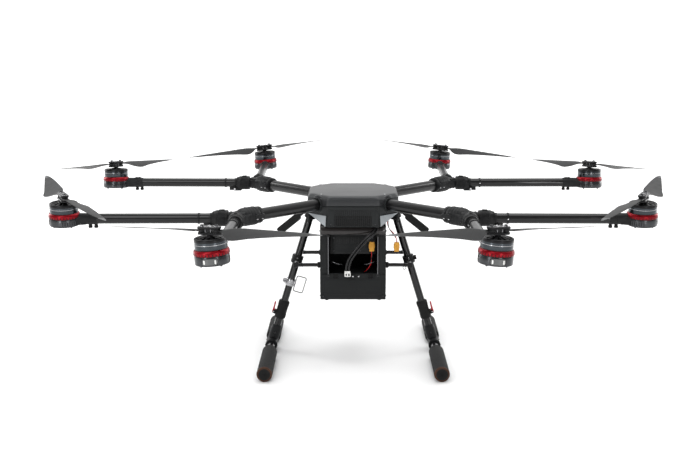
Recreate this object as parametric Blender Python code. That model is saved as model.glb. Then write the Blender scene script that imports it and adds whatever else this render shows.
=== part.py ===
"""Folding eight-rotor agricultural drone, modelled as separate pieces.

Metres, +Z up, the nose faces -Y. The origin is on the ground, under the middle of the hub.
Four main arms leave the hub on its diagonals. Each ends in a forked casting that carries two
outer arms, which fold down at a hinge. Each outer arm carries a motor with a folding propeller.
"""

import math

import bmesh
import bpy
from mathutils import Matrix, Vector

# Overall layout
MOTOR_CIRCLE_R = 0.760  # motor axes lie on this circle
MOTOR_COUNT = 8
ARM_AXIS_Z = 0.424  # height of all arm tubes above the ground
JUNCTION_XY = 0.283  # where the axes of two outer arms cross, from the middle
GAP = 0.0003  # left between pieces that touch
PLAY = 0.0005  # left between pieces that slide or turn on each other

# Hub
HUB_HALF = 0.120
HUB_CHAMFER = 0.052
HUB_WAIST_Z = 0.400
HUB_BOTTOM_Z = 0.368
HUB_BOTTOM_HALF_X = 0.0715
HUB_BOTTOM_HALF_Y = 0.117
HUB_BOTTOM_CHAMFER = 0.004
HUB_WALL = 0.003
HUB_SPLIT_Z = 0.4235  # top edge of the lower shell
SOCKET_R = 0.0195
SOCKET_PROUD = 0.0041  # how far the tube sockets stand out of the cut corners
SOCKET_DEPTH = 0.042
COVER_SIDE_Z = 0.441
COVER_TOP_Z = 0.450
COVER_TOP_INSET = 0.008
COVER_TOP_CHAMFER = 0.050
HUMP_R = 0.0255
HUMP_BACK = 0.0019  # the humps over the sockets end this far inside the cut corners
HUMP_LENGTH = 0.053
BOARD_SIZE = (0.104, 0.104, 0.020)
BOARD_LIFT = 0.004

# Main arms and forked castings
MAIN_TUBE_R = 0.015
CASTING_R = 0.0225
CASTING_BACK = 0.070  # from the crossing of the outer arm axes back towards the hub
BRANCH_R = 0.0155
COLLAR_R = 0.0198  # lock collar over each branch
COLLAR_START = 0.0218
COLLAR_LENGTH = 0.0385
COLLAR_TAPER = 0.010
COLLAR_END_R = 0.016

# Fold hinge of each outer arm
HINGE_OUT = 0.066  # from the crossing of the arm axes, along the arm
HINGE_DROP = 0.017  # below the arm's axis
EAR_R = 0.005
EAR_INNER = 0.0065
EAR_THICK = 0.004
TONGUE_HALF = EAR_INNER - PLAY
HINGE_PIN_R = 0.002

# Outer arms and motor mounts
ARM_TUBE_R = 0.0125
STOP_RING_OUT = 0.091
STOP_RING_R = 0.0140
STOP_RING_LENGTH = 0.004
MOTOR_CANT_DEG = 4.0
MOUNT_R = 0.0365  # lower motor housing
MOUNT_BOTTOM = -0.015  # heights on the motor axis, from the arm's axis
MOUNT_TOP = 0.006
RING_R = 0.0375
RING_TOP = 0.0170
SLEEVE_R = 0.0140
SLEEVE_INNER = 0.080  # from the motor axis, along the arm
PEG_R = 0.005
PEG_BOTTOM = -0.0225
PEG_OFFSETS = (0.062, 0.076)

# Rotors
BELL_R = 0.0340
BELL_TOP = 0.0430
PROP_PLANE = 0.0540
PROP_PIN_R = 0.0022
PROP_PIN_OFFSET = 0.018
CLAMP_R = 0.010
CLAMP_GAP_HALF = 0.0036
CLAMP_THICK = 0.0046
PROP_BOSS_R = 0.0065

# Propeller blades
PROP_R = 0.2667
BLADE_LUG_R = 0.008
BLADE_LUG_HALF = CLAMP_GAP_HALF - PLAY
FRONT_PROP_DEG = 28.0  # blade angle from the X axis, front and rear motors
SIDE_PROP_DEG = 61.5  # the same, motors at the sides
RELAXED_FOLD_DEG = 5.8  # the loose blades of the two forward side motors rest folded a little inwards

# Landing gear
LEG_TOP = (0.114, 0.383)  # x and z of a point on the leg's axis
LEG_TUBE_R = 0.010
SKID_X = 0.2245
GRIP_R = 0.020
SKID_TUBE_R = 0.011
SKID_FRONT_Y = -0.275
SKID_REAR_Y = 0.250
FRONT_GRIP_LENGTH = 0.191
REAR_GRIP_START_Y = 0.057
REAR_GRIP_LENGTH = 0.153
TEE_R = 0.0165
TEE_LENGTH = 0.056
LEG_COLLAR_R = 0.0150  # where the leg meets the slanting side of the hub
LEG_COLLAR_LENGTH = 0.030
CRADLE_Z = 0.257
CRADLE_FRONT_Y = -0.070
CRADLE_REAR_Y = 0.084
CRADLE_ROD_R = 0.005
CRADLE_CLAMP_R = 0.0155
CRADLE_CLAMP_LENGTH = 0.022
LATCH_Z = 0.116
LATCH_SLEEVE_R = 0.0150
LATCH_SLEEVE_LENGTH = 0.050
LEVER_PIN_DROP = 0.012  # the lever's pin sits this far below the middle of the sleeve
LEVER_LENGTH = 0.027
LEVER_HALF_WIDTH = 0.006
LEVER_ROOT_R = 0.0045
LEVER_THICK = 0.0045
LEVER_PIN_R = 0.0015
LEVER_EAR_THICK = 0.0025
LEVER_EAR_HALF = 0.005
BAIL_Z = 0.193
BAIL_LENGTH = 0.044
BAIL_DEPTH = 0.026
BAIL_WIRE_R = 0.0013
BAIL_BAND_R = 0.0125
BAIL_BAND_LENGTH = 0.020

# Battery box and what is in it
BOX_HALF_X = 0.087
BOX_HALF_Y = 0.091
BOX_BOTTOM_Z = 0.167
BOX_WALL = 0.003
BOX_WINDOW_HALF_X = 0.064
BOX_WINDOW_Z = (0.238, 0.345)
MODULE_HALF = (0.061, 0.072)
MODULE_Z = (0.287, 0.340)
BATTERY_HALF = (0.079, 0.080)
BATTERY_HEIGHT = 0.058

# Antennas
ANTENNA_OUT = 0.010  # pivot, from the side of the hub
ANTENNA_Y = -0.045
ANTENNA_DROP = 0.0025  # pivot, below the hub's waist
ANTENNA_LENGTH = 0.088
ANTENNA_HALF_WIDTH = 0.010
ANTENNA_THICK = 0.008
ANTENNA_DROOP_DEG = 39.0
ANTENNA_LUG_R = 0.006
ANTENNA_NECK_LENGTH = 0.018
ANTENNA_NECK_HALF = 0.0045

# Leads, each a route of points chosen by hand
MAIN_LEAD_R = 0.0032
MAIN_LEAD_ROUTE = (
    (0.0600, -0.0990, 0.3676),
    (0.0600, -0.0990, 0.3640),
    (0.0588, -0.1030, 0.3590),
    (0.0520, -0.1100, 0.3505),
    (0.0385, -0.1150, 0.3395),
    (0.0225, -0.1170, 0.3235),
    (0.0070, -0.1165, 0.3035),
    (-0.0060, -0.1140, 0.2840),
    (-0.0120, -0.1100, 0.2680),
    (-0.0142, -0.1070, 0.2570),
    (-0.0144, -0.1060, 0.2525),
    (-0.0144, -0.1060, 0.2490),
)
MAIN_LEAD_SPACING = 0.0072
MAIN_PLUG = (0.0165, 0.0080, 0.0150)
MODULE_LEAD_R = 0.0021
MODULE_LEAD_ROUTE = (
    (0.0500, -0.0820, 0.2967),
    (0.0500, -0.0820, 0.2900),
    (0.0495, -0.0824, 0.2810),
    (0.0480, -0.0824, 0.2710),
    (0.0455, -0.0820, 0.2610),
    (0.0420, -0.0808, 0.2520),
    (0.0375, -0.0780, 0.2445),
    (0.0335, -0.0740, 0.2400),
    (0.0305, -0.0700, 0.2365),
    (0.0298, -0.0692, 0.2335),
    (0.0298, -0.0692, 0.2298),
)
SIDE_LEAD_R = 0.0021
SIDE_LEAD_ROUTE = (
    (0.0925, -0.0600, 0.3798),
    (0.0925, -0.0600, 0.3740),
    (0.0930, -0.0605, 0.3640),
    (0.0965, -0.0635, 0.3540),
    (0.1015, -0.0665, 0.3480),
    (0.1070, -0.0695, 0.3420),
    (0.1120, -0.0715, 0.3350),
    (0.1154, -0.0722, 0.3270),
    (0.1160, -0.0725, 0.3230),
    (0.1160, -0.0725, 0.3195),
)
XT_PLUG = (0.0160, 0.0082, 0.0250)

# How finely round shapes are divided
FINE = 18
MEDIUM = 12
SMALL = 6
GRIP_SIDES = 20  # a multiple of four, so that a corner is at the very bottom


# ---------------------------------------------------------------- helpers

def new_mesh(points, faces):
    """A closed mesh with its faces pointing outwards."""
    work = bmesh.new()
    verts = [work.verts.new(point) for point in points]
    for face in faces:
        work.faces.new([verts[index] for index in face])
    bmesh.ops.recalc_face_normals(work, faces=work.faces)
    mesh = bpy.data.meshes.new("solid")
    work.to_mesh(mesh)
    work.free()
    return mesh


def loft(loops):
    """A solid through loops of equal length, closed with a face at each end."""
    count = len(loops[0])
    points = [point for loop in loops for point in loop]
    faces = [list(range(count)), list(range(len(points) - count, len(points)))]
    for ring in range(len(loops) - 1):
        for index in range(count):
            after = (index + 1) % count
            low, high = ring * count, (ring + 1) * count
            faces.append([low + index, low + after, high + after, high + index])
    return new_mesh(points, faces)


def circle(radius, height, sides, phase=0.5):
    """Points round the Z axis; the phase is in steps."""
    turn = math.tau / sides
    return [(radius * math.cos(turn * (step + phase)), radius * math.sin(turn * (step + phase)), height)
            for step in range(sides)]


def turned(profile, sides):
    """A solid of revolution about Z from pairs of radius and height."""
    return loft([circle(radius, height, sides) for radius, height in profile])


def block(low, high):
    """An upright box between two corners."""
    (x0, y0, z0), (x1, y1, z1) = low, high
    return loft([[(x0, y0, z), (x1, y0, z), (x1, y1, z), (x0, y1, z)] for z in (z0, z1)])


def octagon(half, chamfer, height, half_y=None):
    """A square with cut corners, or an oblong where its half size along Y is given."""
    half_y = half_y or half
    x, y = half - chamfer, half_y - chamfer
    return [(x, -half_y, height), (half, -y, height), (half, y, height), (x, half_y, height),
            (-x, half_y, height), (-half, y, height), (-half, -y, height), (-x, -half_y, height)]


def stadium(half_length, radius, height, sides=4):
    """A slot outline along X with round ends."""
    points = []
    for side in (1, -1):
        for step in range(sides + 1):
            angle = math.pi * (step / sides - 0.5)
            points.append((side * (half_length + radius * math.cos(angle)),
                           side * radius * math.sin(angle), height))
    return points


def moved(mesh, matrix):
    """The mesh, moved in place."""
    mesh.transform(matrix)
    return mesh


def along_x(mesh):
    """Turns a piece made along +Z so that it lies along +X."""
    return moved(mesh, Matrix.Rotation(math.pi / 2, 4, "Y"))


def along_y(mesh):
    """Turns a piece made along +Z so that it lies along +Y."""
    return moved(mesh, Matrix.Rotation(-math.pi / 2, 4, "X"))


def combined(base, tools, operation):
    """The base mesh united with the tools, or cut by them."""
    body = bpy.data.objects.new("body", base)
    bpy.context.collection.objects.link(body)
    helpers = []
    for tool in tools:
        helper = bpy.data.objects.new("tool", tool)
        bpy.context.collection.objects.link(helper)
        helper.hide_render = True
        helper.display_type = "WIRE"
        helpers.append(helper)
        step = body.modifiers.new("step", "BOOLEAN")
        step.object = helper
        step.operation = operation
    graph = bpy.context.evaluated_depsgraph_get()
    result = bpy.data.meshes.new_from_object(body.evaluated_get(graph))
    for used in [body] + helpers:
        bpy.data.objects.remove(used)
    return result


def united(base, *tools):
    return combined(base, tools, "UNION")


def cut(base, *tools):
    return combined(base, tools, "DIFFERENCE")


def material(name, colour, roughness, metallic):
    """A material with one Principled shader."""
    made = bpy.data.materials.new(name)
    made.use_nodes = True
    shader = made.node_tree.nodes["Principled BSDF"]
    shader.inputs["Base Color"].default_value = (*colour, 1.0)
    shader.inputs["Roughness"].default_value = roughness
    shader.inputs["Metallic"].default_value = metallic
    made.diffuse_color = (*colour, 1.0)
    return made


def place(name, mesh, look, matrix=None):
    """Links a named piece, with its origin where the matrix puts it."""
    piece = bpy.data.objects.new(name, mesh)
    bpy.context.collection.objects.link(piece)
    if not mesh.materials:
        mesh.materials.append(look)
        mesh.shade_smooth()
        mesh.set_sharp_from_angle(angle=math.radians(32))
    if matrix is not None:
        piece.matrix_world = matrix
    return piece


def turn_z(degrees):
    return Matrix.Rotation(math.radians(degrees), 4, "Z")


def shift(x, y, z):
    return Matrix.Translation(Vector((x, y, z)))


# ---------------------------------------------------------------- layout

def motor_points():
    """Motor axes in order, starting at the front left and going clockwise seen from above."""
    points = []
    for index in range(MOTOR_COUNT):
        angle = math.radians(-112.5 - 45.0 * index)
        across, ahead = MOTOR_CIRCLE_R * math.cos(angle), MOTOR_CIRCLE_R * math.sin(angle)
        points.append(Vector((across, ahead, ARM_AXIS_Z)))
    return points


def junction_of(motor):
    """The crossing of arm axes that serves a motor."""
    return Vector((math.copysign(JUNCTION_XY, motor.x), math.copysign(JUNCTION_XY, motor.y), ARM_AXIS_Z))


def arm_layout(motor):
    """Azimuth in degrees and length of the outer arm that carries a motor."""
    reach = motor - junction_of(motor)
    return math.degrees(math.atan2(reach.y, reach.x)), reach.length


def lean_side(motor, azimuth):
    """Which way the motor leans about its arm: +1 towards the arm's left, -1 to its right."""
    left = Vector((-math.sin(math.radians(azimuth)), math.cos(math.radians(azimuth)), 0.0))
    if abs(motor.y) > abs(motor.x):
        outward = Vector((math.copysign(1, motor.x), 0, 0))
    else:
        outward = Vector((0, math.copysign(1, motor.y), 0))
    return 1 if left.dot(outward) > 0 else -1


def motor_frame(motor):
    """The motor's own frame: origin on the arm's axis, +Z up the canted motor axis, +X along the arm."""
    azimuth, _ = arm_layout(motor)
    cant = Matrix.Rotation(math.radians(-lean_side(motor, azimuth) * MOTOR_CANT_DEG), 4, "X")
    return Matrix.Translation(motor) @ turn_z(azimuth) @ cant


def prop_angle(motor, azimuth):
    """Rest angle of the propeller about the motor axis, from the arm's direction."""
    front_or_rear = abs(motor.y) > abs(motor.x)
    tilt = FRONT_PROP_DEG if front_or_rear else SIDE_PROP_DEG
    falling = (motor.x < 0) == (motor.y < 0)
    return (-tilt if falling else tilt) - azimuth


# ---------------------------------------------------------------- hub

def corner_out():
    """How far the hub's cut corners are from the middle."""
    return (2 * HUB_HALF - HUB_CHAMFER) / math.sqrt(2)


def socket_out():
    """How far from the middle the tube sockets reach."""
    return corner_out() + SOCKET_PROUD


def socket_rods(radius, inner, outer):
    """Four rods on the hub's diagonals."""
    rods = []
    for corner in range(4):
        rod = along_x(turned([(radius, inner), (radius, outer)], FINE))
        rods.append(moved(rod, shift(0, 0, ARM_AXIS_Z) @ turn_z(45 + 90 * corner)))
    return rods


def hub_shell():
    outer = loft([octagon(HUB_BOTTOM_HALF_X, HUB_BOTTOM_CHAMFER, HUB_BOTTOM_Z, HUB_BOTTOM_HALF_Y),
                  octagon(HUB_HALF, HUB_CHAMFER, HUB_WAIST_Z),
                  octagon(HUB_HALF, HUB_CHAMFER, HUB_SPLIT_Z)])
    low_x, low_y = HUB_BOTTOM_HALF_X - HUB_WALL, HUB_BOTTOM_HALF_Y - HUB_WALL
    room = loft([octagon(low_x, HUB_BOTTOM_CHAMFER, HUB_BOTTOM_Z + HUB_WALL, low_y),
                 octagon(HUB_HALF - HUB_WALL, HUB_CHAMFER, HUB_WAIST_Z + HUB_WALL),
                 octagon(HUB_HALF - HUB_WALL, HUB_CHAMFER, HUB_SPLIT_Z + 0.01)])
    shell = cut(outer, room)
    shell = united(shell, *socket_rods(SOCKET_R, socket_out() - SOCKET_DEPTH, socket_out()))
    bore = MAIN_TUBE_R + GAP
    return cut(shell, *socket_rods(bore, socket_out() - SOCKET_DEPTH + HUB_WALL, socket_out() + 0.01))


def top_cover():
    base = HUB_SPLIT_Z + GAP
    top_half = HUB_HALF - COVER_TOP_INSET
    hump_out = corner_out() - HUMP_BACK
    outer = loft([octagon(HUB_HALF, HUB_CHAMFER, base),
                  octagon(HUB_HALF, HUB_CHAMFER, COVER_SIDE_Z),
                  octagon(top_half, COVER_TOP_CHAMFER, COVER_TOP_Z)])
    outer = united(outer, *socket_rods(HUMP_R, hump_out - HUMP_LENGTH, hump_out))
    far = 0.2
    below = block((-far, -far, base - far), (far, far, base))
    inset = HUB_WALL
    room = loft([octagon(top_half, COVER_TOP_CHAMFER, base - 0.01),
                 octagon(top_half, COVER_TOP_CHAMFER, COVER_SIDE_Z - inset),
                 octagon(top_half - 4 * inset, COVER_TOP_CHAMFER, COVER_TOP_Z - inset)])
    outer = cut(outer, below)
    outer = cut(outer, room)
    return cut(outer, *socket_rods(SOCKET_R + PLAY, 0.06, socket_out() + 0.01))


def flight_controller():
    x, y, z = BOARD_SIZE
    base = HUB_BOTTOM_Z + HUB_WALL + BOARD_LIFT
    body = block((-x / 2, -y / 2, base), (x / 2, y / 2, base + z))
    feet = [block((sx * x / 3 - 0.006, sy * y / 3 - 0.006, HUB_BOTTOM_Z + HUB_WALL + GAP),
                  (sx * x / 3 + 0.006, sy * y / 3 + 0.006, base + z / 2))
            for sx in (-1, 1) for sy in (-1, 1)]
    return united(body, *feet)


# ---------------------------------------------------------------- arms

def main_arm():
    """One main arm in the frame of its junction: +X points away from the hub, on the diagonal."""
    to_hub = math.sqrt(2) * JUNCTION_XY
    inner_end = socket_out() - SOCKET_DEPTH + HUB_WALL + GAP - to_hub
    tube = along_x(turned([(MAIN_TUBE_R, inner_end), (MAIN_TUBE_R, -CASTING_BACK + 0.01)], MEDIUM))
    casting = along_x(turned([(CASTING_R, -CASTING_BACK), (CASTING_R, -0.014), (BRANCH_R, 0.004)], FINE))
    spread = fork_spread()
    forks = [moved(fork(), turn_z(side * spread)) for side in (-1, 1)]
    return united(united(tube, casting), *forks)


def fork_spread():
    """Angle in degrees between an outer arm and the diagonal of its main arm."""
    motor = motor_points()[0]
    junction = junction_of(motor)
    azimuth, _ = arm_layout(motor)
    return abs(azimuth - math.degrees(math.atan2(junction.y, junction.x)))


def fork():
    """One branch of a casting with its lock collar and the two hinge ears: +X along the outer arm."""
    end = COLLAR_START + COLLAR_LENGTH
    branch = along_x(turned([(BRANCH_R, -0.028), (BRANCH_R, COLLAR_START + 0.004)], MEDIUM))
    collar = along_x(turned([(COLLAR_R, COLLAR_START), (COLLAR_R, end - COLLAR_TAPER),
                             (COLLAR_END_R, end)], FINE))
    at_hinge = shift(HINGE_OUT, 0, -HINGE_DROP)
    near, far = EAR_INNER, EAR_INNER + EAR_THICK
    pieces = [collar]
    for side in (-1, 1):
        ear = loft([[(x, side * y, z) for x, z in ear_outline(EAR_R, -0.020)] for y in (near, far)])
        pieces.append(moved(ear, at_hinge))
    pin = along_y(turned([(HINGE_PIN_R, -near - 0.002), (HINGE_PIN_R, near + 0.002)], SMALL))
    pieces.append(moved(pin, at_hinge))
    return united(branch, *pieces)


def ear_outline(radius, back):
    """Side view of a hinge ear: round at the pin, straight back to the collar."""
    points = [(back, -radius)]
    for step in range(7):
        angle = math.pi * (step / 6 - 0.5)
        points.append((radius * math.cos(angle), radius * math.sin(angle)))
    points.append((back, radius))
    return points


def outer_arm(length, lean):
    """One outer arm from its hinge: +X along the arm, the hinge pin on the Y axis."""
    motor_x = length - HINGE_OUT
    face = COLLAR_START + COLLAR_LENGTH + PLAY - HINGE_OUT
    tube = along_x(turned([(ARM_TUBE_R, face), (ARM_TUBE_R, motor_x - 0.01)], MEDIUM))
    ring_start = STOP_RING_OUT - HINGE_OUT
    ring = along_x(turned([(STOP_RING_R, ring_start), (STOP_RING_R, ring_start + STOP_RING_LENGTH)], MEDIUM))
    sleeve = along_x(turned([(SLEEVE_R, motor_x - SLEEVE_INNER), (SLEEVE_R, motor_x - 0.02)], MEDIUM))
    cant = Matrix.Rotation(math.radians(-lean * MOTOR_CANT_DEG), 4, "X")
    pod = turned([(MOUNT_R, MOUNT_BOTTOM), (MOUNT_R, MOUNT_TOP), (RING_R, MOUNT_TOP + 0.001),
                  (RING_R, RING_TOP)], FINE)
    pieces = [ring, sleeve, moved(pod, shift(motor_x, 0, 0) @ cant)]
    for offset in PEG_OFFSETS:
        peg = turned([(PEG_R, PEG_BOTTOM), (PEG_R, -ARM_TUBE_R / 2)], SMALL)
        pieces.append(moved(peg, shift(motor_x - offset, 0, 0)))
    arm = moved(united(tube, *pieces), shift(0, 0, HINGE_DROP))
    half = TONGUE_HALF
    outline = ear_outline(EAR_R - PLAY, 0)[1:-1]
    outline = [(0.016, -EAR_R + PLAY)] + [(-x, z) for x, z in outline] + [(0.016, HINGE_DROP - 0.006)]
    outline.insert(-1, (0.0, HINGE_DROP - 0.006))
    tongue = loft([[(x, y, z) for x, z in outline] for y in (-half, half)])
    hole = along_y(turned([(HINGE_PIN_R + PLAY, -0.02), (HINGE_PIN_R + PLAY, 0.02)], SMALL))
    return cut(united(arm, tongue), hole)


def rotor():
    """Motor bell with the propeller's clamp plates: +Z up the motor axis, blades along X."""
    base = RING_TOP + PLAY
    bell = turned([(BELL_R, base), (BELL_R, BELL_TOP - 0.003), (BELL_R - 0.004, BELL_TOP)], FINE)
    low = PROP_PLANE - CLAMP_GAP_HALF
    high = PROP_PLANE + CLAMP_GAP_HALF
    post = turned([(PROP_BOSS_R, BELL_TOP - 0.004), (PROP_BOSS_R, high + 0.002)], SMALL)
    plates = [loft([stadium(PROP_PIN_OFFSET, CLAMP_R, z) for z in span])
              for span in ((low - CLAMP_THICK, low), (high, high + CLAMP_THICK))]
    pins = [moved(turned([(PROP_PIN_R, low - 0.002), (PROP_PIN_R, high + 0.002)], SMALL),
                  shift(side * PROP_PIN_OFFSET, 0, 0)) for side in (-1, 1)]
    return united(bell, post, *plates, *pins)


def blade(hand):
    """One blade from its pin: +X outwards, leading edge towards +Y where hand is 1."""
    reach = PROP_R - PROP_PIN_OFFSET
    # span from the pin, leading edge, trailing edge, pitch in degrees, half thickness
    stations = [(0.002, 0.0074, -0.0074, 0, 0.0026), (0.015, 0.0078, -0.0078, 3, 0.0026),
                (0.032, 0.0105, -0.0230, 17, 0.0022), (0.055, 0.0130, -0.0370, 18, 0.0019),
                (0.095, 0.0120, -0.0300, 15, 0.0016), (0.165, 0.0090, -0.0195, 10, 0.0012),
                (0.228, 0.0030, -0.0105, 8, 0.0008), (reach, -0.0020, -0.0060, 7, 0.0005)]
    loops = []
    for span, lead, trail, pitch, thick in stations:
        middle = lead * 0.55 + trail * 0.45
        section = [(lead, 0.0), (middle, thick), (trail, thick * 0.2), (trail, -thick * 0.2),
                   (middle, -thick)]
        slope = math.radians(pitch)
        loops.append([(span, hand * (y * math.cos(slope) - z * math.sin(slope)),
                       y * math.sin(slope) + z * math.cos(slope)) for y, z in section])
    lug = turned([(BLADE_LUG_R, -BLADE_LUG_HALF), (BLADE_LUG_R, BLADE_LUG_HALF)], MEDIUM)
    hole = turned([(PROP_PIN_R + PLAY, -0.01), (PROP_PIN_R + PLAY, 0.01)], SMALL)
    return cut(united(loft(loops), lug), hole)


def fold_sense(motor, pin):
    """+1 where a blade turns anticlockwise, seen from above, to fold back over its arm."""
    outwards = pin.to_3x3() @ Vector((1, 0, 0))
    return 1 if outwards.cross(junction_of(motor) - motor).z > 0 else -1


def build_arms(looks):
    arm = main_arm()
    for corner, side in enumerate(("front_left", "rear_left", "rear_right", "front_right")):
        motor = motor_points()[2 * corner]
        junction = junction_of(motor)
        facing = math.degrees(math.atan2(junction.y, junction.x))
        place("main_arm_" + side, arm, looks["carbon"], Matrix.Translation(junction) @ turn_z(facing))
    length = arm_layout(motor_points()[0])[1]
    arms = {lean: outer_arm(length, lean) for lean in (-1, 1)}
    blades = {hand: blade(hand) for hand in (-1, 1)}
    bell = rotor()
    for index, motor in enumerate(motor_points()):
        number = str(index + 1)
        azimuth, _ = arm_layout(motor)
        hinge = Matrix.Translation(junction_of(motor)) @ turn_z(azimuth) @ shift(HINGE_OUT, 0, -HINGE_DROP)
        place("outer_arm_" + number, arms[lean_side(motor, azimuth)], looks["carbon"], hinge)
        hub = motor_frame(motor) @ turn_z(prop_angle(motor, azimuth))
        place("rotor_" + number, bell, looks["motor"], hub)
        hand = 1 if index % 2 == 0 else -1
        relaxed = abs(motor.x) > abs(motor.y) and motor.y < 0
        for letter, half_turn in (("a", 0), ("b", 180)):
            pin = hub @ turn_z(half_turn) @ shift(PROP_PIN_OFFSET, 0, PROP_PLANE)
            if relaxed:
                pin = pin @ turn_z(fold_sense(motor, pin) * RELAXED_FOLD_DEG)
            place("blade_" + number + letter, blades[hand], looks["blade"], pin)


# ---------------------------------------------------------------- landing gear

def leg_frame(side):
    """Frame of a leg: origin at the skid's axis, +Z up the leg, +X outwards."""
    slope = math.atan2(SKID_X - LEG_TOP[0], LEG_TOP[1] - GRIP_R)
    lean = Matrix.Rotation(-side * slope, 4, "Y")
    return shift(side * SKID_X, 0, GRIP_R) @ lean, slope


def leg_height(z):
    """Distance up a leg's axis from the skid to a height above the ground."""
    slope = math.atan2(SKID_X - LEG_TOP[0], LEG_TOP[1] - GRIP_R)
    return (z - GRIP_R) / math.cos(slope)


def lever_frame(side):
    """Frame of a cam lever's pin: +Z up the leg, +X outwards, pin on Y."""
    frame, _ = leg_frame(side)
    outwards = frame if side > 0 else frame @ turn_z(180)
    out = LATCH_SLEEVE_R + PLAY + LEVER_ROOT_R + PLAY
    return outwards @ shift(out, 0, leg_height(LATCH_Z) - LEVER_PIN_DROP)


def beyond_hub_side(side):
    """A block that fills what lies behind the slanting side of the hub, with the gap of touching pieces."""
    run, rise = HUB_HALF - HUB_BOTTOM_HALF_X, HUB_WAIST_Z - HUB_BOTTOM_Z
    slant = Matrix.Rotation(side * math.atan2(run, rise), 4, "Y")
    far = 0.1
    filled = block((0 if side < 0 else -far, -far, -far), (far if side < 0 else 0, far, far))
    return moved(filled, shift(side * (HUB_BOTTOM_HALF_X + GAP * 1.2), 0, HUB_BOTTOM_Z) @ slant)


def leg(side):
    frame, _ = leg_frame(side)
    top = leg_height(HUB_WAIST_Z)
    tube = moved(turned([(LEG_TUBE_R, 0.0), (LEG_TUBE_R, top)], MEDIUM), frame)
    foot = leg_height(HUB_WAIST_Z) - LEG_COLLAR_LENGTH
    collar = moved(turned([(LEG_COLLAR_R, foot), (LEG_COLLAR_R, top + 0.01)], MEDIUM), frame)
    sleeve_low = leg_height(LATCH_Z) - LATCH_SLEEVE_LENGTH / 2
    sleeve = turned([(LATCH_SLEEVE_R - 0.002, sleeve_low), (LATCH_SLEEVE_R, sleeve_low + 0.003),
                     (LATCH_SLEEVE_R, sleeve_low + LATCH_SLEEVE_LENGTH - 0.003),
                     (LATCH_SLEEVE_R - 0.002, sleeve_low + LATCH_SLEEVE_LENGTH)], MEDIUM)
    tee = along_y(turned([(TEE_R, -TEE_LENGTH / 2), (TEE_R, TEE_LENGTH / 2)], FINE))
    pieces = [moved(sleeve, frame), collar, moved(tee, shift(side * SKID_X, 0, GRIP_R))]
    outwards = lever_frame(side)
    near = LEVER_HALF_WIDTH + PLAY
    far = near + LEVER_EAR_THICK
    reach = LEVER_ROOT_R + 2 * PLAY
    for hand in (-1, 1):
        ys = sorted((hand * near, hand * far))
        ear = block((-reach - 0.004, ys[0], -LEVER_EAR_HALF), (LEVER_EAR_HALF / 2, ys[1], LEVER_EAR_HALF))
        pieces.append(moved(ear, outwards))
    rod = along_y(turned([(LEVER_PIN_R, -near - 0.001), (LEVER_PIN_R, near + 0.001)], SMALL))
    pieces.append(moved(rod, outwards))
    if side < 0:
        low = leg_height(BAIL_Z) - BAIL_BAND_LENGTH / 2
        band = turned([(BAIL_BAND_R, low), (BAIL_BAND_R, low + BAIL_BAND_LENGTH)], MEDIUM)
        pieces.append(moved(band, frame))
    body = united(tube, *pieces)
    bore = along_y(turned([(SKID_TUBE_R + GAP, -0.1), (SKID_TUBE_R + GAP, 0.1)], FINE))
    return cut(body, moved(bore, shift(side * SKID_X, 0, GRIP_R)), beyond_hub_side(side))


def skid():
    """Skid tube with its two foam grips, along Y at the height of the ground."""
    front = SKID_FRONT_Y + FRONT_GRIP_LENGTH
    rear = REAR_GRIP_START_Y + REAR_GRIP_LENGTH
    edge = 0.003
    profile = [(GRIP_R - edge, SKID_FRONT_Y), (GRIP_R, SKID_FRONT_Y + edge), (GRIP_R, front - edge),
               (GRIP_R - edge, front), (SKID_TUBE_R, front + GAP), (SKID_TUBE_R, REAR_GRIP_START_Y - GAP),
               (GRIP_R - edge, REAR_GRIP_START_Y), (GRIP_R, REAR_GRIP_START_Y + edge), (GRIP_R, rear - edge),
               (GRIP_R - edge, rear), (SKID_TUBE_R, rear + GAP), (SKID_TUBE_R, SKID_REAR_Y)]
    loops = [circle(radius, height, GRIP_SIDES, 0.0) for radius, height in profile]
    return along_y(loft(loops))


def cradle(side):
    """Two rods that carry the battery box from a leg, with their clamp."""
    frame, _ = leg_frame(side)
    up = leg_height(CRADLE_Z)
    at_leg = frame @ Vector((0, 0, up))
    inner = BOX_HALF_X + GAP
    rods = []
    for y in (CRADLE_FRONT_Y, CRADLE_REAR_Y):
        rod = along_x(turned([(CRADLE_ROD_R, inner), (CRADLE_ROD_R, abs(at_leg.x) + 0.003)], MEDIUM))
        if side < 0:
            rod = moved(rod, turn_z(180))
        rods.append(moved(rod, shift(0, y, CRADLE_Z)))
    link = along_y(turned([(CRADLE_ROD_R, CRADLE_FRONT_Y - 0.006),
                           (CRADLE_ROD_R, CRADLE_REAR_Y + 0.006)], MEDIUM))
    link = moved(link, shift(at_leg.x, 0, CRADLE_Z))
    half = CRADLE_CLAMP_LENGTH / 2
    clamp = moved(turned([(CRADLE_CLAMP_R, up - half), (CRADLE_CLAMP_R, up + half)], MEDIUM), frame)
    body = united(link, clamp, *rods)
    bore = turned([(LEG_TUBE_R + GAP, up - 0.04), (LEG_TUBE_R + GAP, up + 0.04)], MEDIUM)
    return cut(body, moved(bore, frame))


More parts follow.
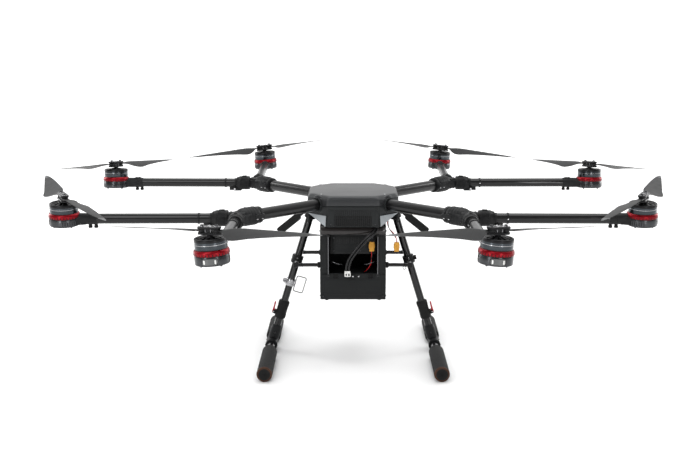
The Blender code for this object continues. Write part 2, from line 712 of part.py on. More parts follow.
def lever():
    """Cam lever in the frame of its pin: +Z up the leg, +X outwards, pin on Y."""
    root = []
    for step in range(7):
        angle = math.pi * (1 + step / 6)
        root.append((LEVER_ROOT_R * math.cos(angle), LEVER_ROOT_R * math.sin(angle)))
    inner = -LEVER_ROOT_R
    outline = root + [(inner + LEVER_THICK + 0.001, LEVER_LENGTH * 0.6),
                      (inner + LEVER_THICK + 0.004, LEVER_LENGTH),
                      (inner + LEVER_THICK, LEVER_LENGTH), (inner, LEVER_LENGTH * 0.6)]
    body = loft([[(x, y, z) for x, z in outline] for y in (-LEVER_HALF_WIDTH, LEVER_HALF_WIDTH)])
    hole = along_y(turned([(LEVER_PIN_R + PLAY, -0.02), (LEVER_PIN_R + PLAY, 0.02)], SMALL))
    return cut(body, hole)


def wire_loop(points, radius, sides=6):
    """A closed ring of wire through corner points in one plane (XZ)."""
    loops = []
    count = len(points)
    for index in range(count):
        before, here, after = (Vector(points[(index + step) % count]) for step in (-1, 0, 1))
        bisector = ((after - here).normalized() + (here - before).normalized()).normalized()
        normal = Vector((0, 1, 0))
        across = normal.cross(bisector)
        stretch = 1 / max(0.5, bisector.dot((after - here).normalized()))
        ring = []
        for step in range(sides):
            angle = math.tau * step / sides
            sideways = across * (radius * stretch * math.cos(angle))
            ring.append(tuple(here + sideways + normal * (radius * math.sin(angle))))
        loops.append(ring)
    verts = [point for ring in loops for point in ring]
    faces = []
    for ring in range(count):
        for index in range(sides):
            after = (index + 1) % sides
            low, high = ring * sides, ((ring + 1) % count) * sides
            faces.append([low + index, low + after, high + after, high + index])
    return new_mesh(verts, faces)


def bail():
    """Rectangular wire bail in the frame of its pivot: +Z up the leg, +X inwards."""
    half, corner = BAIL_LENGTH / 2, 0.004
    points = [(0, 0, -half + corner), (0, 0, half - corner), (corner, 0, half),
              (BAIL_DEPTH - corner, 0, half), (BAIL_DEPTH, 0, half - corner),
              (BAIL_DEPTH, 0, -half + corner), (BAIL_DEPTH - corner, 0, -half), (corner, 0, -half)]
    return wire_loop(points, BAIL_WIRE_R)


def build_landing_gear(looks):
    for side, word in ((-1, "left"), (1, "right")):
        place("leg_" + word, leg(side), looks["leg"])
        place("skid_" + word, skid(), looks["foam"], shift(side * SKID_X, 0, GRIP_R))
        place("cradle_" + word, cradle(side), looks["leg"])
        place("latch_lever_" + word, lever(), looks["red"], lever_frame(side))
    frame, _ = leg_frame(-1)
    pivot = frame @ shift(BAIL_BAND_R + BAIL_WIRE_R + GAP, 0, leg_height(BAIL_Z))
    place("wire_bail", bail(), looks["steel"], pivot)


# ---------------------------------------------------------------- battery box

def battery_box():
    top = HUB_BOTTOM_Z - GAP
    outer = block((-BOX_HALF_X, -BOX_HALF_Y, BOX_BOTTOM_Z), (BOX_HALF_X, BOX_HALF_Y, top))
    wall = BOX_WALL
    room = block((-BOX_HALF_X + wall, -BOX_HALF_Y + wall, BOX_BOTTOM_Z + wall),
                 (BOX_HALF_X - wall, BOX_HALF_Y - wall, top - wall))
    window = block((-BOX_WINDOW_HALF_X, -BOX_HALF_Y - 0.01, BOX_WINDOW_Z[0]),
                   (BOX_WINDOW_HALF_X, -BOX_HALF_Y + 0.02, BOX_WINDOW_Z[1]))
    return cut(outer, room, window)


def power_module():
    x, y = MODULE_HALF
    low, high = MODULE_Z
    body = block((-x, -y, low), (x, y, high))
    arms = [block((side * 0.045 - 0.006, -y + 0.02, high - 0.004),
                  (side * 0.045 + 0.006, y - 0.02, HUB_BOTTOM_Z - GAP - BOX_WALL - GAP)) for side in (-1, 1)]
    return united(body, *arms)


def battery_pack():
    x, y = BATTERY_HALF
    low = BOX_BOTTOM_Z + BOX_WALL + GAP
    high = low + BATTERY_HEIGHT
    edge = 0.006
    loops = []
    for z in (low, high):
        loops.append([(-x, -y + edge, z), (-x + edge, -y, z), (x - edge, -y, z), (x, -y + edge, z),
                      (x, y - edge, z), (x - edge, y, z), (-x + edge, y, z), (-x, y - edge, z)])
    return loft(loops)


def antenna(side):
    """Paddle antenna in the frame of its swivel: +X outwards, pin on Y."""
    droop = math.radians(ANTENNA_DROOP_DEG)
    half = ANTENNA_HALF_WIDTH
    thick = ANTENNA_THICK / 2
    paddle = block((ANTENNA_NECK_LENGTH, -thick, -half), (ANTENNA_LENGTH, thick, half))
    neck = block((0.0, -thick * 0.8, -ANTENNA_NECK_HALF),
                 (ANTENNA_NECK_LENGTH + 0.002, thick * 0.8, ANTENNA_NECK_HALF))
    lug = along_y(turned([(ANTENNA_LUG_R, -thick - 0.002), (ANTENNA_LUG_R, thick + 0.002)], MEDIUM))
    turn = Matrix.Rotation(droop, 4, "Y")
    shape = moved(united(paddle, neck, lug), turn)
    return shape if side > 0 else moved(shape, turn_z(180))


def build_payload(looks):
    place("battery_box", battery_box(), looks["box"])
    place("power_module", power_module(), looks["module"])
    place("battery_pack", battery_pack(), looks["module"])
    x, y, z = HUB_HALF + ANTENNA_OUT, ANTENNA_Y, HUB_WAIST_Z - ANTENNA_DROP
    for side, word in ((-1, "left"), (1, "right")):
        place("antenna_" + word, antenna(side), looks["antenna"], shift(side * x, y, z))


# ---------------------------------------------------------------- leads

def smooth_route(points, spacing):
    """Points evenly spaced along a smooth curve through the route's own points."""
    ends = [2 * Vector(points[0]) - Vector(points[1]), 2 * Vector(points[-1]) - Vector(points[-2])]
    knots = [ends[0]] + [Vector(point) for point in points] + [ends[1]]
    fine = []
    steps = 24
    for index in range(1, len(knots) - 2):
        p0, p1, p2, p3 = knots[index - 1:index + 3]
        for step in range(steps):
            t = step / steps
            fine.append(0.5 * (2 * p1 + (p2 - p0) * t + (2 * p0 - 5 * p1 + 4 * p2 - p3) * t ** 2
                               + (3 * p1 - p0 - 3 * p2 + p3) * t ** 3))
    fine.append(knots[-2])
    lengths = [0.0]
    for before, after in zip(fine, fine[1:]):
        lengths.append(lengths[-1] + (after - before).length)
    count = max(4, round(lengths[-1] / spacing))
    result = []
    place_in = 0
    for step in range(count + 1):
        wanted = lengths[-1] * step / count
        while place_in < len(lengths) - 2 and lengths[place_in + 1] < wanted:
            place_in += 1
        share = (wanted - lengths[place_in]) / (lengths[place_in + 1] - lengths[place_in])
        result.append(fine[place_in].lerp(fine[place_in + 1], share))
    stub = 0.3 * spacing  # short straight ends, so that the caps lie square to the first and last stretch
    start, end = (Vector(points[1]) - knots[1]).normalized(), (Vector(points[-2]) - knots[-2]).normalized()
    return [result[0], result[0] + start * stub] + result[1:-1] + [result[-1] + end * stub, result[-1]]


def beside(route, offset):
    """The route moved sideways, square to its own direction as seen from the front."""
    points = [Vector(point) for point in route]
    result = []
    for index, point in enumerate(points):
        before, after = points[max(index - 1, 0)], points[min(index + 1, len(points) - 1)]
        along = after - before
        result.append(point + Vector((-along.z, 0, along.x)).normalized() * offset)
    return result


def lead(name, route, radius, look):
    curve = bpy.data.curves.new(name, "CURVE")
    curve.dimensions = "3D"
    points = smooth_route(route, 5 * radius)
    spline = curve.splines.new("POLY")
    spline.points.add(len(points) - 1)
    for spot, point in zip(spline.points, points):
        spot.co = (*point, 1.0)
    curve.bevel_depth = radius
    curve.bevel_resolution = 2
    curve.use_fill_caps = True
    curve.materials.append(look)
    piece = bpy.data.objects.new(name, curve)
    bpy.context.collection.objects.link(piece)
    return piece


def plug(size, at, tilt=(0.0, 0.0, 1.0)):
    """A plug that hangs from the end of a lead; tilt is the way up its body."""
    x, y, z = size
    body = block((-x / 2, -y / 2, -z), (x / 2, y / 2, 0))
    turn = Vector((0, 0, 1)).rotation_difference(Vector(tilt)).to_matrix().to_4x4()
    return moved(body, Matrix.Translation(Vector(at)) @ turn)


def build_leads(looks):
    half = MAIN_LEAD_SPACING / 2
    for letter, offset in (("a", -half), ("b", half)):
        lead("main_lead_" + letter, beside(MAIN_LEAD_ROUTE, offset), MAIN_LEAD_R, looks["cable"])
    x, y, z = MAIN_LEAD_ROUTE[-1]
    place("main_plug", plug(MAIN_PLUG, (x, y, z - GAP)), looks["white"])
    lead("module_lead", MODULE_LEAD_ROUTE, MODULE_LEAD_R, looks["wire"])
    x, y, z = MODULE_LEAD_ROUTE[0]
    place("module_plug", plug(XT_PLUG, (x, y, z + GAP + XT_PLUG[2])), looks["amber"])
    lead("side_lead", SIDE_LEAD_ROUTE, SIDE_LEAD_R, looks["wire"])
    x, y, z = SIDE_LEAD_ROUTE[-1]
    place("side_plug", plug(XT_PLUG, (x, y, z - GAP)), looks["amber"])


# ---------------------------------------------------------------- assembly

def all_looks():
    return {
        "cover": material("cover_grey", (0.12, 0.125, 0.13), 0.35, 0.6),
        "shell": material("shell_grey", (0.045, 0.05, 0.05), 0.45, 0.2),
        "carbon": material("carbon_tube", (0.018, 0.018, 0.019), 0.3, 0.0),
        "motor": material("motor_grey", (0.06, 0.065, 0.07), 0.3, 0.8),
        "blade": material("blade_black", (0.035, 0.035, 0.037), 0.5, 0.0),
        "leg": material("leg_black", (0.02, 0.02, 0.02), 0.35, 0.0),
        "foam": material("foam_black", (0.025, 0.025, 0.025), 0.9, 0.0),
        "red": material("lever_red", (0.55, 0.02, 0.03), 0.4, 0.0),
        "steel": material("wire_steel", (0.6, 0.6, 0.6), 0.25, 1.0),
        "box": material("box_black", (0.022, 0.024, 0.024), 0.55, 0.0),
        "module": material("module_black", (0.015, 0.015, 0.016), 0.5, 0.0),
        "antenna": material("antenna_black", (0.012, 0.012, 0.012), 0.7, 0.0),
        "cable": material("cable_black", (0.01, 0.01, 0.01), 0.25, 0.0),
        "wire": material("wire_red", (0.4, 0.02, 0.02), 0.35, 0.0),
        "amber": material("plug_amber", (0.7, 0.38, 0.08), 0.4, 0.0),
        "white": material("plug_white", (0.75, 0.75, 0.73), 0.45, 0.0),
    }


def main():
    for old in list(bpy.data.objects):
        bpy.data.objects.remove(old)
    looks = all_looks()
    place("hub_shell", hub_shell(), looks["shell"])
    place("top_cover", top_cover(), looks["cover"])
    place("flight_controller", flight_controller(), looks["module"])
    build_arms(looks)
    build_landing_gear(looks)
    build_payload(looks)
    build_leads(looks)


main()
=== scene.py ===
"""Looks of the folding eight-rotor agricultural drone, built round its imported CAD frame."""

import math

import bmesh
import bpy
from mathutils import Matrix, Vector


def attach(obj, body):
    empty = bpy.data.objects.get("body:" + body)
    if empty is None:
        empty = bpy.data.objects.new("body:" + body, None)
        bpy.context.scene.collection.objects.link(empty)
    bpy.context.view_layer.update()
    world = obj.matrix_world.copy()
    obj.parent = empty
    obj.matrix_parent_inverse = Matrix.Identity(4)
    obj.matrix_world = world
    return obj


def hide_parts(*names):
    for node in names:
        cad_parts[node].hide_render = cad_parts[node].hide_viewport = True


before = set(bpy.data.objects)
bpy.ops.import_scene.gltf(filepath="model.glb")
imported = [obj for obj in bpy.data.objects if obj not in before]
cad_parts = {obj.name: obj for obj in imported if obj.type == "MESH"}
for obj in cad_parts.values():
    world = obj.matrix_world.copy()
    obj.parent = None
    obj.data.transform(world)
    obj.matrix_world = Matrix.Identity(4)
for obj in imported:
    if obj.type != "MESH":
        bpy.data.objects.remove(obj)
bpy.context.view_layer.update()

# Layout, the same values as the frame was built from, in metres and degrees
MOTOR_CIRCLE_R = 0.76
ARM_Z = 0.424
JUNCTION_XY = 0.283
HINGE_OUT = 0.066
HINGE_DROP = 0.017
CANT_DEG = 4.0
FRONT_PROP_DEG = 28.0
SIDE_PROP_DEG = 61.5
RELAXED_FOLD_DEG = 5.8
PROP_PLANE = 0.054
PROP_PIN_OFFSET = 0.018
PROP_R = 0.2667
LEG_TOP = (0.114, 0.383)
SKID_X = 0.2245
SKID_Z = 0.02
CRADLE_Z = 0.257
LATCH_Z = 0.116
LEVER_PIN_OUT = 0.0205  # lever pin from the leg axis
LEVER_PIN_DROP = 0.012  # lever pin below the middle of the sleeve
BAIL_Z = 0.193
HUB_BOTTOM_Z = 0.368
HUB_SPLIT_Z = 0.4235
BOX_HALF_X = 0.087
BOX_HALF_Y = 0.091
BOX_LOW = 0.167
BOX_TOP = 0.3677
ANTENNA_PIVOT = (0.13, -0.045, 0.3975)
ANTENNA_DROOP_DEG = 39.0
HUB_HALF = 0.12
HUB_CHAMFER = 0.052
HUMP_BORE_R = 0.02
FIRST_MOTOR_DEG = -112.5
MOTOR_STEP_DEG = 45.0
ROD_YS = (-0.07, 0.084)  # the two cradle rods on each side

# Leads: the routes of the frame's own leads
MAIN_LEAD_R = 0.0032
MAIN_LEAD_SPACING = 0.0072
MAIN_LEAD_ROUTE = (
    (0.06, -0.099, 0.3676), (0.06, -0.099, 0.364), (0.0588, -0.103, 0.359),
    (0.052, -0.11, 0.3505), (0.0385, -0.115, 0.3395), (0.0225, -0.117, 0.3235),
    (0.007, -0.1165, 0.3035), (-0.006, -0.114, 0.284), (-0.012, -0.11, 0.268),
    (-0.0142, -0.107, 0.257), (-0.0144, -0.106, 0.2525), (-0.0144, -0.106, 0.249))
WIRE_R = 0.0021
MODULE_LEAD_ROUTE = (
    (0.05, -0.082, 0.2967), (0.05, -0.082, 0.29), (0.0495, -0.0824, 0.281),
    (0.048, -0.0824, 0.271), (0.0455, -0.082, 0.261), (0.042, -0.0808, 0.252),
    (0.0375, -0.078, 0.2445), (0.0335, -0.074, 0.24), (0.0305, -0.07, 0.2365),
    (0.0298, -0.0692, 0.2335), (0.0298, -0.0692, 0.2298))
SIDE_LEAD_ROUTE = (
    (0.0925, -0.06, 0.3798), (0.0925, -0.06, 0.374), (0.093, -0.0605, 0.364), (0.0965, -0.0635, 0.354),
    (0.1015, -0.0665, 0.348), (0.107, -0.0695, 0.342), (0.112, -0.0715, 0.335),
    (0.1154, -0.0722, 0.327), (0.116, -0.0725, 0.323), (0.116, -0.0725, 0.3195))
PLUG_GAP = 0.0003

ALONG_X = Matrix.Rotation(math.pi / 2, 4, "Y")
ALONG_Y = Matrix.Rotation(-math.pi / 2, 4, "X")
UPSIDE_DOWN = Matrix.Rotation(math.pi, 4, "X")
FACING_FRONT = Matrix.Rotation(math.pi / 2, 4, "X")

BEVEL_ANGLE = 0.55  # edges sharper than this are rounded, in radians
SHARP_DEG = 34  # edges sharper than this stay sharp in the shading
STRAND_STEPS = 32  # places round a route where a strand can lie

# Camera and studio
CAMERA_LENS = 54.2
CAMERA_PLACE = (-0.008, -2.809, 0.902)
CAMERA_DOWN_DEG = 11.55
LAMP_AIM = Vector((0, 0, 0.4))
WORLD_FALLOFF = (-0.35, 0.7)  # directions, front to back, between which the world brightens
WORLD_STRENGTH = (0.3, 1.06)
GLOW_REACH = (0.8, 3.8)  # distances between which the floor starts to glow
GLOW_STRENGTH = 0.85


# ---------------------------------------------------------------- materials

def noise(nodes, links, space, scale, detail=4.0):
    made = nodes.new("ShaderNodeTexNoise")
    made.inputs["Scale"].default_value = scale
    made.inputs["Detail"].default_value = detail
    links.new(space, made.inputs["Vector"])
    return made


def look(name, colour, rough, metallic=0.0, spread=0.18, patches=30.0, grain=1400.0, bump=0.12,
         pattern=None, pitch=0.002, coat=0.0, stretch=(1, 1, 1), tip=None, specular=0.17):
    """A procedural finish: mottled colour and gloss, and a fine surface grain, weave, cells or ribs."""
    made = bpy.data.materials.new(name)
    made.use_nodes = True
    nodes, links = made.node_tree.nodes, made.node_tree.links
    shader = nodes["Principled BSDF"]
    shader.inputs["Metallic"].default_value = metallic
    shader.inputs["Coat Weight"].default_value = coat
    shader.inputs["Specular IOR Level"].default_value = specular
    where = nodes.new("ShaderNodeTexCoord").outputs["Object"]
    scaled = nodes.new("ShaderNodeMapping")
    scaled.inputs["Scale"].default_value = stretch
    links.new(where, scaled.inputs["Vector"])
    space = scaled.outputs["Vector"]

    mottle = noise(nodes, links, space, patches)
    shade = nodes.new("ShaderNodeMix")
    shade.data_type = "RGBA"
    shade.inputs["A"].default_value = (*[c * (1 - spread) for c in colour], 1)
    shade.inputs["B"].default_value = (*[min(1, c * (1 + spread)) for c in colour], 1)
    links.new(mottle.outputs["Fac"], shade.inputs["Factor"])
    tone = shade.outputs["Result"]

    gloss = nodes.new("ShaderNodeMapRange")
    gloss.inputs["To Min"].default_value = max(0.02, rough * 0.8)
    gloss.inputs["To Max"].default_value = min(1.0, rough * 1.2)
    links.new(mottle.outputs["Fac"], gloss.inputs["Value"])
    links.new(gloss.outputs["Result"], shader.inputs["Roughness"])

    height = noise(nodes, links, space, grain, 2.0).outputs["Fac"]
    depth = 0.0002
    if pattern == "cells":
        cells = nodes.new("ShaderNodeTexVoronoi")
        cells.inputs["Scale"].default_value = 1 / pitch
        links.new(space, cells.inputs["Vector"])
        height = cells.outputs["Distance"]
        depth = pitch * 0.4
    if pattern in ("weave", "ribs", "squares"):
        wave = nodes.new("ShaderNodeTexWave")
        wave.bands_direction = "DIAGONAL" if pattern == "weave" else "X"
        wave.inputs["Scale"].default_value = 1 / (pitch * 6.2)
        wave.inputs["Distortion"].default_value = 0.15
        links.new(space, wave.inputs["Vector"])
        height = wave.outputs["Fac"]
        depth = pitch * 0.12
        if pattern == "squares":
            cross = nodes.new("ShaderNodeTexWave")
            cross.bands_direction = "Y"
            cross.inputs["Scale"].default_value = 1 / (pitch * 6.2)
            links.new(space, cross.inputs["Vector"])
            both = nodes.new("ShaderNodeMath")
            both.operation = "MULTIPLY"
            links.new(height, both.inputs[0])
            links.new(cross.outputs["Fac"], both.inputs[1])
            height = both.outputs["Value"]
    raised = nodes.new("ShaderNodeBump")
    raised.inputs["Strength"].default_value = bump
    raised.inputs["Distance"].default_value = depth
    links.new(height, raised.inputs["Height"])
    links.new(raised.outputs["Normal"], shader.inputs["Normal"])

    if tip is not None:
        start, tip_colour = tip
        along = nodes.new("ShaderNodeSeparateXYZ")
        links.new(where, along.inputs["Vector"])
        edge = nodes.new("ShaderNodeMapRange")
        edge.inputs["From Min"].default_value = start - 0.0006
        edge.inputs["From Max"].default_value = start + 0.0006
        links.new(along.outputs["X"], edge.inputs["Value"])
        painted = nodes.new("ShaderNodeMix")
        painted.data_type = "RGBA"
        painted.inputs["B"].default_value = (*tip_colour, 1)
        links.new(edge.outputs["Result"], painted.inputs["Factor"])
        links.new(tone, painted.inputs["A"])
        tone = painted.outputs["Result"]
    links.new(tone, shader.inputs["Base Color"])
    return made


CARBON = look("tube_carbon", (0.005, 0.005, 0.0053), 0.3, spread=0.35, patches=90, pattern="weave",
              pitch=0.0014, bump=0.1, coat=0.35)
CAST = look("cast_nylon", (0.009, 0.0094, 0.01), 0.48, spread=0.3, grain=2200, bump=0.35)
COLLAR = look("collar_nylon", (0.008, 0.0083, 0.0087), 0.42, spread=0.25, grain=2600, bump=0.25)
ANODISED = look("anodised_grey", (0.055, 0.057, 0.06), 0.26, metallic=0.9, spread=0.12, patches=14,
                grain=900, bump=0.04, stretch=(1, 1, 6))
BLUE_METAL = look("bell_blue_grey", (0.05, 0.056, 0.062), 0.22, metallic=0.95, spread=0.1, patches=10,
                  grain=700, bump=0.05, stretch=(1, 1, 9))
SILVER = look("turned_silver", (0.36, 0.36, 0.37), 0.22, metallic=1.0, spread=0.08, grain=500, bump=0.05,
              stretch=(1, 1, 12))
RED_METAL = look("anodised_red", (0.22, 0.003, 0.008), 0.28, metallic=0.45, spread=0.15, bump=0.05)
BLACK_METAL = look("black_metal", (0.015, 0.015, 0.016), 0.34, metallic=0.5, spread=0.3, bump=0.08)
WINDING = look("copper_winding", (0.16, 0.07, 0.035), 0.5, metallic=0.6, spread=0.4, pattern="ribs",
               pitch=0.0008, bump=0.6)
SCREW = look("screw_black", (0.045, 0.045, 0.048), 0.3, metallic=0.8, spread=0.25, bump=0.06)
SCREW_LIGHT = look("screw_steel", (0.52, 0.52, 0.53), 0.28, metallic=1.0, spread=0.12, bump=0.05)
LENS = look("lamp_lens", (0.075, 0.078, 0.078), 0.16, spread=0.08, pattern="ribs", pitch=0.0016, bump=0.5,
            coat=0.8)
BLADE = look("blade_composite", (0.0085, 0.0088, 0.0092), 0.44, spread=0.22, patches=60, pattern="weave",
             pitch=0.0012, bump=0.12, tip=(0.222, (0.11, 0.112, 0.115)))
COVER = look("cover_paint", (0.037, 0.0385, 0.0405), 0.38, metallic=0.45, spread=0.07, patches=12,
             grain=3200, bump=0.06, coat=0.15)
SHELL = look("shell_plastic", (0.014, 0.0155, 0.016), 0.46, spread=0.18, grain=2400, bump=0.22)
FACET = look("facet_satin", (0.3, 0.32, 0.335), 0.4, metallic=0.3, spread=0.06, patches=18, grain=2600,
             bump=0.08)
RIB = look("vent_rib", (0.012, 0.0125, 0.013), 0.4, spread=0.2, grain=2400, bump=0.2)
DARK = look("deep_black", (0.006, 0.006, 0.006), 0.7, spread=0.3, bump=0.1)
WRAP_BROWN = look("grip_edge", (0.055, 0.026, 0.016), 0.6, spread=0.2, bump=0.1)
LEG = look("leg_carbon", (0.006, 0.006, 0.0065), 0.24, spread=0.3, patches=90, pattern="weave",
           pitch=0.0014, bump=0.08, coat=0.5)
FOAM = look("grip_foam", (0.018, 0.018, 0.018), 0.92, spread=0.35, patches=220, pattern="cells",
            pitch=0.0016, bump=0.8, specular=0.25)
RUBBER = look("rubber", (0.009, 0.009, 0.009), 0.66, spread=0.25, grain=1800, bump=0.4)
RED = look("lever_red_plastic", (0.34, 0.006, 0.016), 0.34, spread=0.12, grain=1800, bump=0.1, coat=0.2)
STEEL = look("bright_steel", (0.12, 0.12, 0.125), 0.2, metallic=1.0, spread=0.12, bump=0.04)
BOX = look("box_plastic", (0.01, 0.011, 0.0113), 0.52, spread=0.16, patches=22, grain=2000, bump=0.3)
SHROUD = look("shroud_gloss", (0.016, 0.0135, 0.013), 0.2, spread=0.3, patches=16, grain=600, bump=0.05,
              coat=0.5)
MODULE = look("module_black", (0.016, 0.0165, 0.017), 0.42, spread=0.3, grain=1500, bump=0.2)
WRAP = look("battery_wrap", (0.012, 0.0125, 0.014), 0.36, spread=0.2, patches=35, grain=500, bump=0.12)
PADDLE = look("antenna_rubber", (0.008, 0.008, 0.008), 0.6, spread=0.25, pattern="squares", pitch=0.0024,
              bump=0.9)
CABLE = look("cable_sheath", (0.007, 0.007, 0.0075), 0.26, spread=0.25, patches=120, grain=900, bump=0.1,
             coat=0.3)
WIRE_RED = look("wire_red_pvc", (0.42, 0.012, 0.014), 0.32, spread=0.12, bump=0.08)
WIRE_BLACK = look("wire_black_pvc", (0.012, 0.012, 0.012), 0.32, spread=0.2, bump=0.08)
AMBER = look("plug_amber_nylon", (0.58, 0.29, 0.045), 0.36, spread=0.12, grain=1600, bump=0.12)
# White nylon of the plugs, also used for the painted highlights on the motor lamp lenses
WHITE = look("plug_nylon_and_painted_highlight", (0.72, 0.72, 0.7), 0.4, spread=0.05, grain=1600, bump=0.12)
FLOOR = look("floor", (0.9, 0.9, 0.9), 0.6, spread=0.01, patches=2, grain=60, bump=0.02)


# ---------------------------------------------------------------- shapes

class Shape:
    """Closed solids of several materials, collected in one mesh."""

    def __init__(self):
        self.points = []
        self.faces = []
        self.slots = []
        self.looks = []

    def add(self, points, faces, finish, at=None, soft=0.0):
        """One closed solid; soft is the radius that its sharp edges are rounded to."""
        work = bmesh.new()
        verts = [work.verts.new(point) for point in points]
        for face in faces:
            work.faces.new([verts[index] for index in face])
        bmesh.ops.recalc_face_normals(work, faces=work.faces)
        if soft:
            sharp = [edge for edge in work.edges if edge.calc_face_angle(0) > BEVEL_ANGLE]
            bmesh.ops.bevel(work, geom=sharp, offset=soft, segments=2, profile=0.5, affect="EDGES",
                            clamp_overlap=True)
        if at is not None:
            work.transform(at)
            if at.determinant() < 0:
                bmesh.ops.reverse_faces(work, faces=work.faces)
        work.verts.index_update()
        if finish not in self.looks:
            self.looks.append(finish)
        slot = self.looks.index(finish)
        base = len(self.points)
        self.points += [vert.co.copy() for vert in work.verts]
        for face in work.faces:
            self.faces.append([base + vert.index for vert in face.verts])
            self.slots.append(slot)
        work.free()

    def loft(self, loops, finish, at=None, soft=0.0, ring=False):
        """A solid through loops of equal length, closed at its ends, or joined into a ring."""
        count, rings = len(loops[0]), len(loops)
        points = [point for loop in loops for point in loop]
        faces = [] if ring else [list(range(count)), list(range((rings - 1) * count, rings * count))]
        for index in range(rings if ring else rings - 1):
            low, high = index * count, (index + 1) % rings * count
            for step in range(count):
                after = (step + 1) % count
                faces.append([low + step, low + after, high + after, high + step])
        self.add(points, faces, finish, at, soft)

    def turn(self, profile, finish, at=None, sides=48):
        """A solid of revolution about Z from pairs of radius and height."""
        self.loft([circle(radius, height, sides) for radius, height in profile], finish, at)

    def hoop(self, section, finish, at=None, sides=48):
        """A closed ring about Z, from the radius and height of each corner of its section."""
        self.loft([[(radius * math.cos(a), radius * math.sin(a), height) for radius, height in section]
                   for a in [math.tau * step / sides for step in range(sides)]], finish, at, ring=True)

    def ribbed(self, profile, ribs, finish, at=None):
        """As turn, from radius, height and rib depth, with ribs along the axis."""
        loops = []
        for radius, height, depth in profile:
            loop = []
            for rib in range(ribs):
                for share, sunk in ((0.0, 0), (0.5, 0), (0.62, 1), (0.88, 1)):
                    angle = math.tau * (rib + share) / ribs
                    out = radius - depth * sunk
                    loop.append((out * math.cos(angle), out * math.sin(angle), height))
            loops.append(loop)
        self.loft(loops, finish, at)

    def block(self, low, high, finish, at=None, soft=0.0006):
        (x0, y0, z0), (x1, y1, z1) = low, high
        x0, x1 = sorted((x0, x1))
        y0, y1 = sorted((y0, y1))
        loops = [[(x0, y0, z), (x1, y0, z), (x1, y1, z), (x0, y1, z)] for z in (z0, z1)]
        self.loft(loops, finish, at, soft)

    def prism(self, outline, low, high, finish, at=None, soft=0.0006):
        self.loft([[(x, y, z) for x, y in outline] for z in (low, high)], finish, at, soft)

    def sweep(self, path, radius, finish, sides=10, ring=False):
        """A round rod along a path of points."""
        self.loft(swept(path, radius, sides, ring), finish, ring=ring)

    def screw(self, at, radius=0.0018, finish=None):
        """A cap screw whose head stands on the frame's XY plane."""
        tall = radius * 0.8
        profile = [(radius, -0.0004), (radius, tall * 0.75), (radius * 0.85, tall),
                   (radius * 0.5, tall), (radius * 0.46, tall * 0.35)]
        self.turn(profile, finish or SCREW, at, sides=12)

    def mesh(self, name):
        made = bpy.data.meshes.new(name)
        made.from_pydata(self.points, [], self.faces)
        for finish in self.looks:
            made.materials.append(finish)
        made.polygons.foreach_set("material_index", self.slots)
        made.shade_smooth()
        made.set_sharp_from_angle(angle=math.radians(SHARP_DEG))
        return made


def circle(radius, height, sides):
    step = math.tau / sides
    return [(radius * math.cos(step * index), radius * math.sin(step * index), height)
            for index in range(sides)]


def swept(path, radius, sides, ring=False):
    """Loops of a round section carried along a path without twist."""
    path = [Vector(point) for point in path]
    count = len(path)
    loops = []
    across = None
    for index, point in enumerate(path):
        before = path[(index - 1) % count] if ring else path[max(index - 1, 0)]
        after = path[(index + 1) % count] if ring else path[min(index + 1, count - 1)]
        along = (after - before).normalized()
        if across is None:
            across = along.orthogonal().normalized()
        across = (across - along * across.dot(along)).normalized()
        up = along.cross(across)
        loops.append([point + across * (radius * math.cos(math.tau * step / sides))
                      + up * (radius * math.sin(math.tau * step / sides)) for step in range(sides)])
    return loops


def shift(x=0.0, y=0.0, z=0.0):
    return Matrix.Translation(Vector((x, y, z)))


def turn_z(degrees):
    return Matrix.Rotation(math.radians(degrees), 4, "Z")


def turn_y(degrees):
    return Matrix.Rotation(math.radians(degrees), 4, "Y")


def piece(name, mesh, body, at=None, stands_for=()):
    """Places a mesh as a piece that rides on a body."""
    made = bpy.data.objects.new(name, mesh)
    bpy.context.scene.collection.objects.link(made)
    if at is not None:
        made.matrix_world = at
    if stands_for:
        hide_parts(*stands_for)
    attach(made, body)
    return made


def rounded_octagon(half, chamfer, height, radius=0.006, steps=4, half_y=None):
    """A square or oblong with cut and rounded corners, eight by steps points."""
    half_y = half_y or half
    x, y = half - chamfer, half_y - chamfer
    radius = min(radius, chamfer * 0.8)
    corners = [Vector(p) for p in ((x, -half_y), (half, -y), (half, y), (x, half_y),
                                   (-x, half_y), (-half, y), (-half, -y), (-x, -half_y))]
    loop = []
    for index, corner in enumerate(corners):
        before = (corners[index - 1] - corner).normalized()
        after = (corners[(index + 1) % 8] - corner).normalized()
        start, end = corner + before * radius * 0.6, corner + after * radius * 0.6
        for step in range(steps):
            t = step / (steps - 1)
            spot = start * (1 - t) ** 2 + corner * 2 * t * (1 - t) + end * t ** 2
            loop.append((spot.x, spot.y, height))
    return loop


def smooth_route(points, spacing):
    """Points evenly spaced along a smooth curve through the route's own points."""
    ends = [2 * Vector(points[0]) - Vector(points[1]), 2 * Vector(points[-1]) - Vector(points[-2])]
    knots = [ends[0]] + [Vector(point) for point in points] + [ends[1]]
    fine = []
    steps = 24
    for index in range(1, len(knots) - 2):
        p0, p1, p2, p3 = knots[index - 1:index + 3]
        for step in range(steps):
            t = step / steps
            fine.append(0.5 * (2 * p1 + (p2 - p0) * t + (2 * p0 - 5 * p1 + 4 * p2 - p3) * t ** 2
                               + (3 * p1 - p0 - 3 * p2 + p3) * t ** 3))
    fine.append(knots[-2])
    lengths = [0.0]
    for before, after in zip(fine, fine[1:]):
        lengths.append(lengths[-1] + (after - before).length)
    count = max(4, round(lengths[-1] / spacing))
    result = []
    spot = 0
    for step in range(count + 1):
        wanted = lengths[-1] * step / count
        while spot < len(lengths) - 2 and lengths[spot + 1] < wanted:
            spot += 1
        share = (wanted - lengths[spot]) / (lengths[spot + 1] - lengths[spot])
        result.append(fine[spot].lerp(fine[spot + 1], share))
    return result


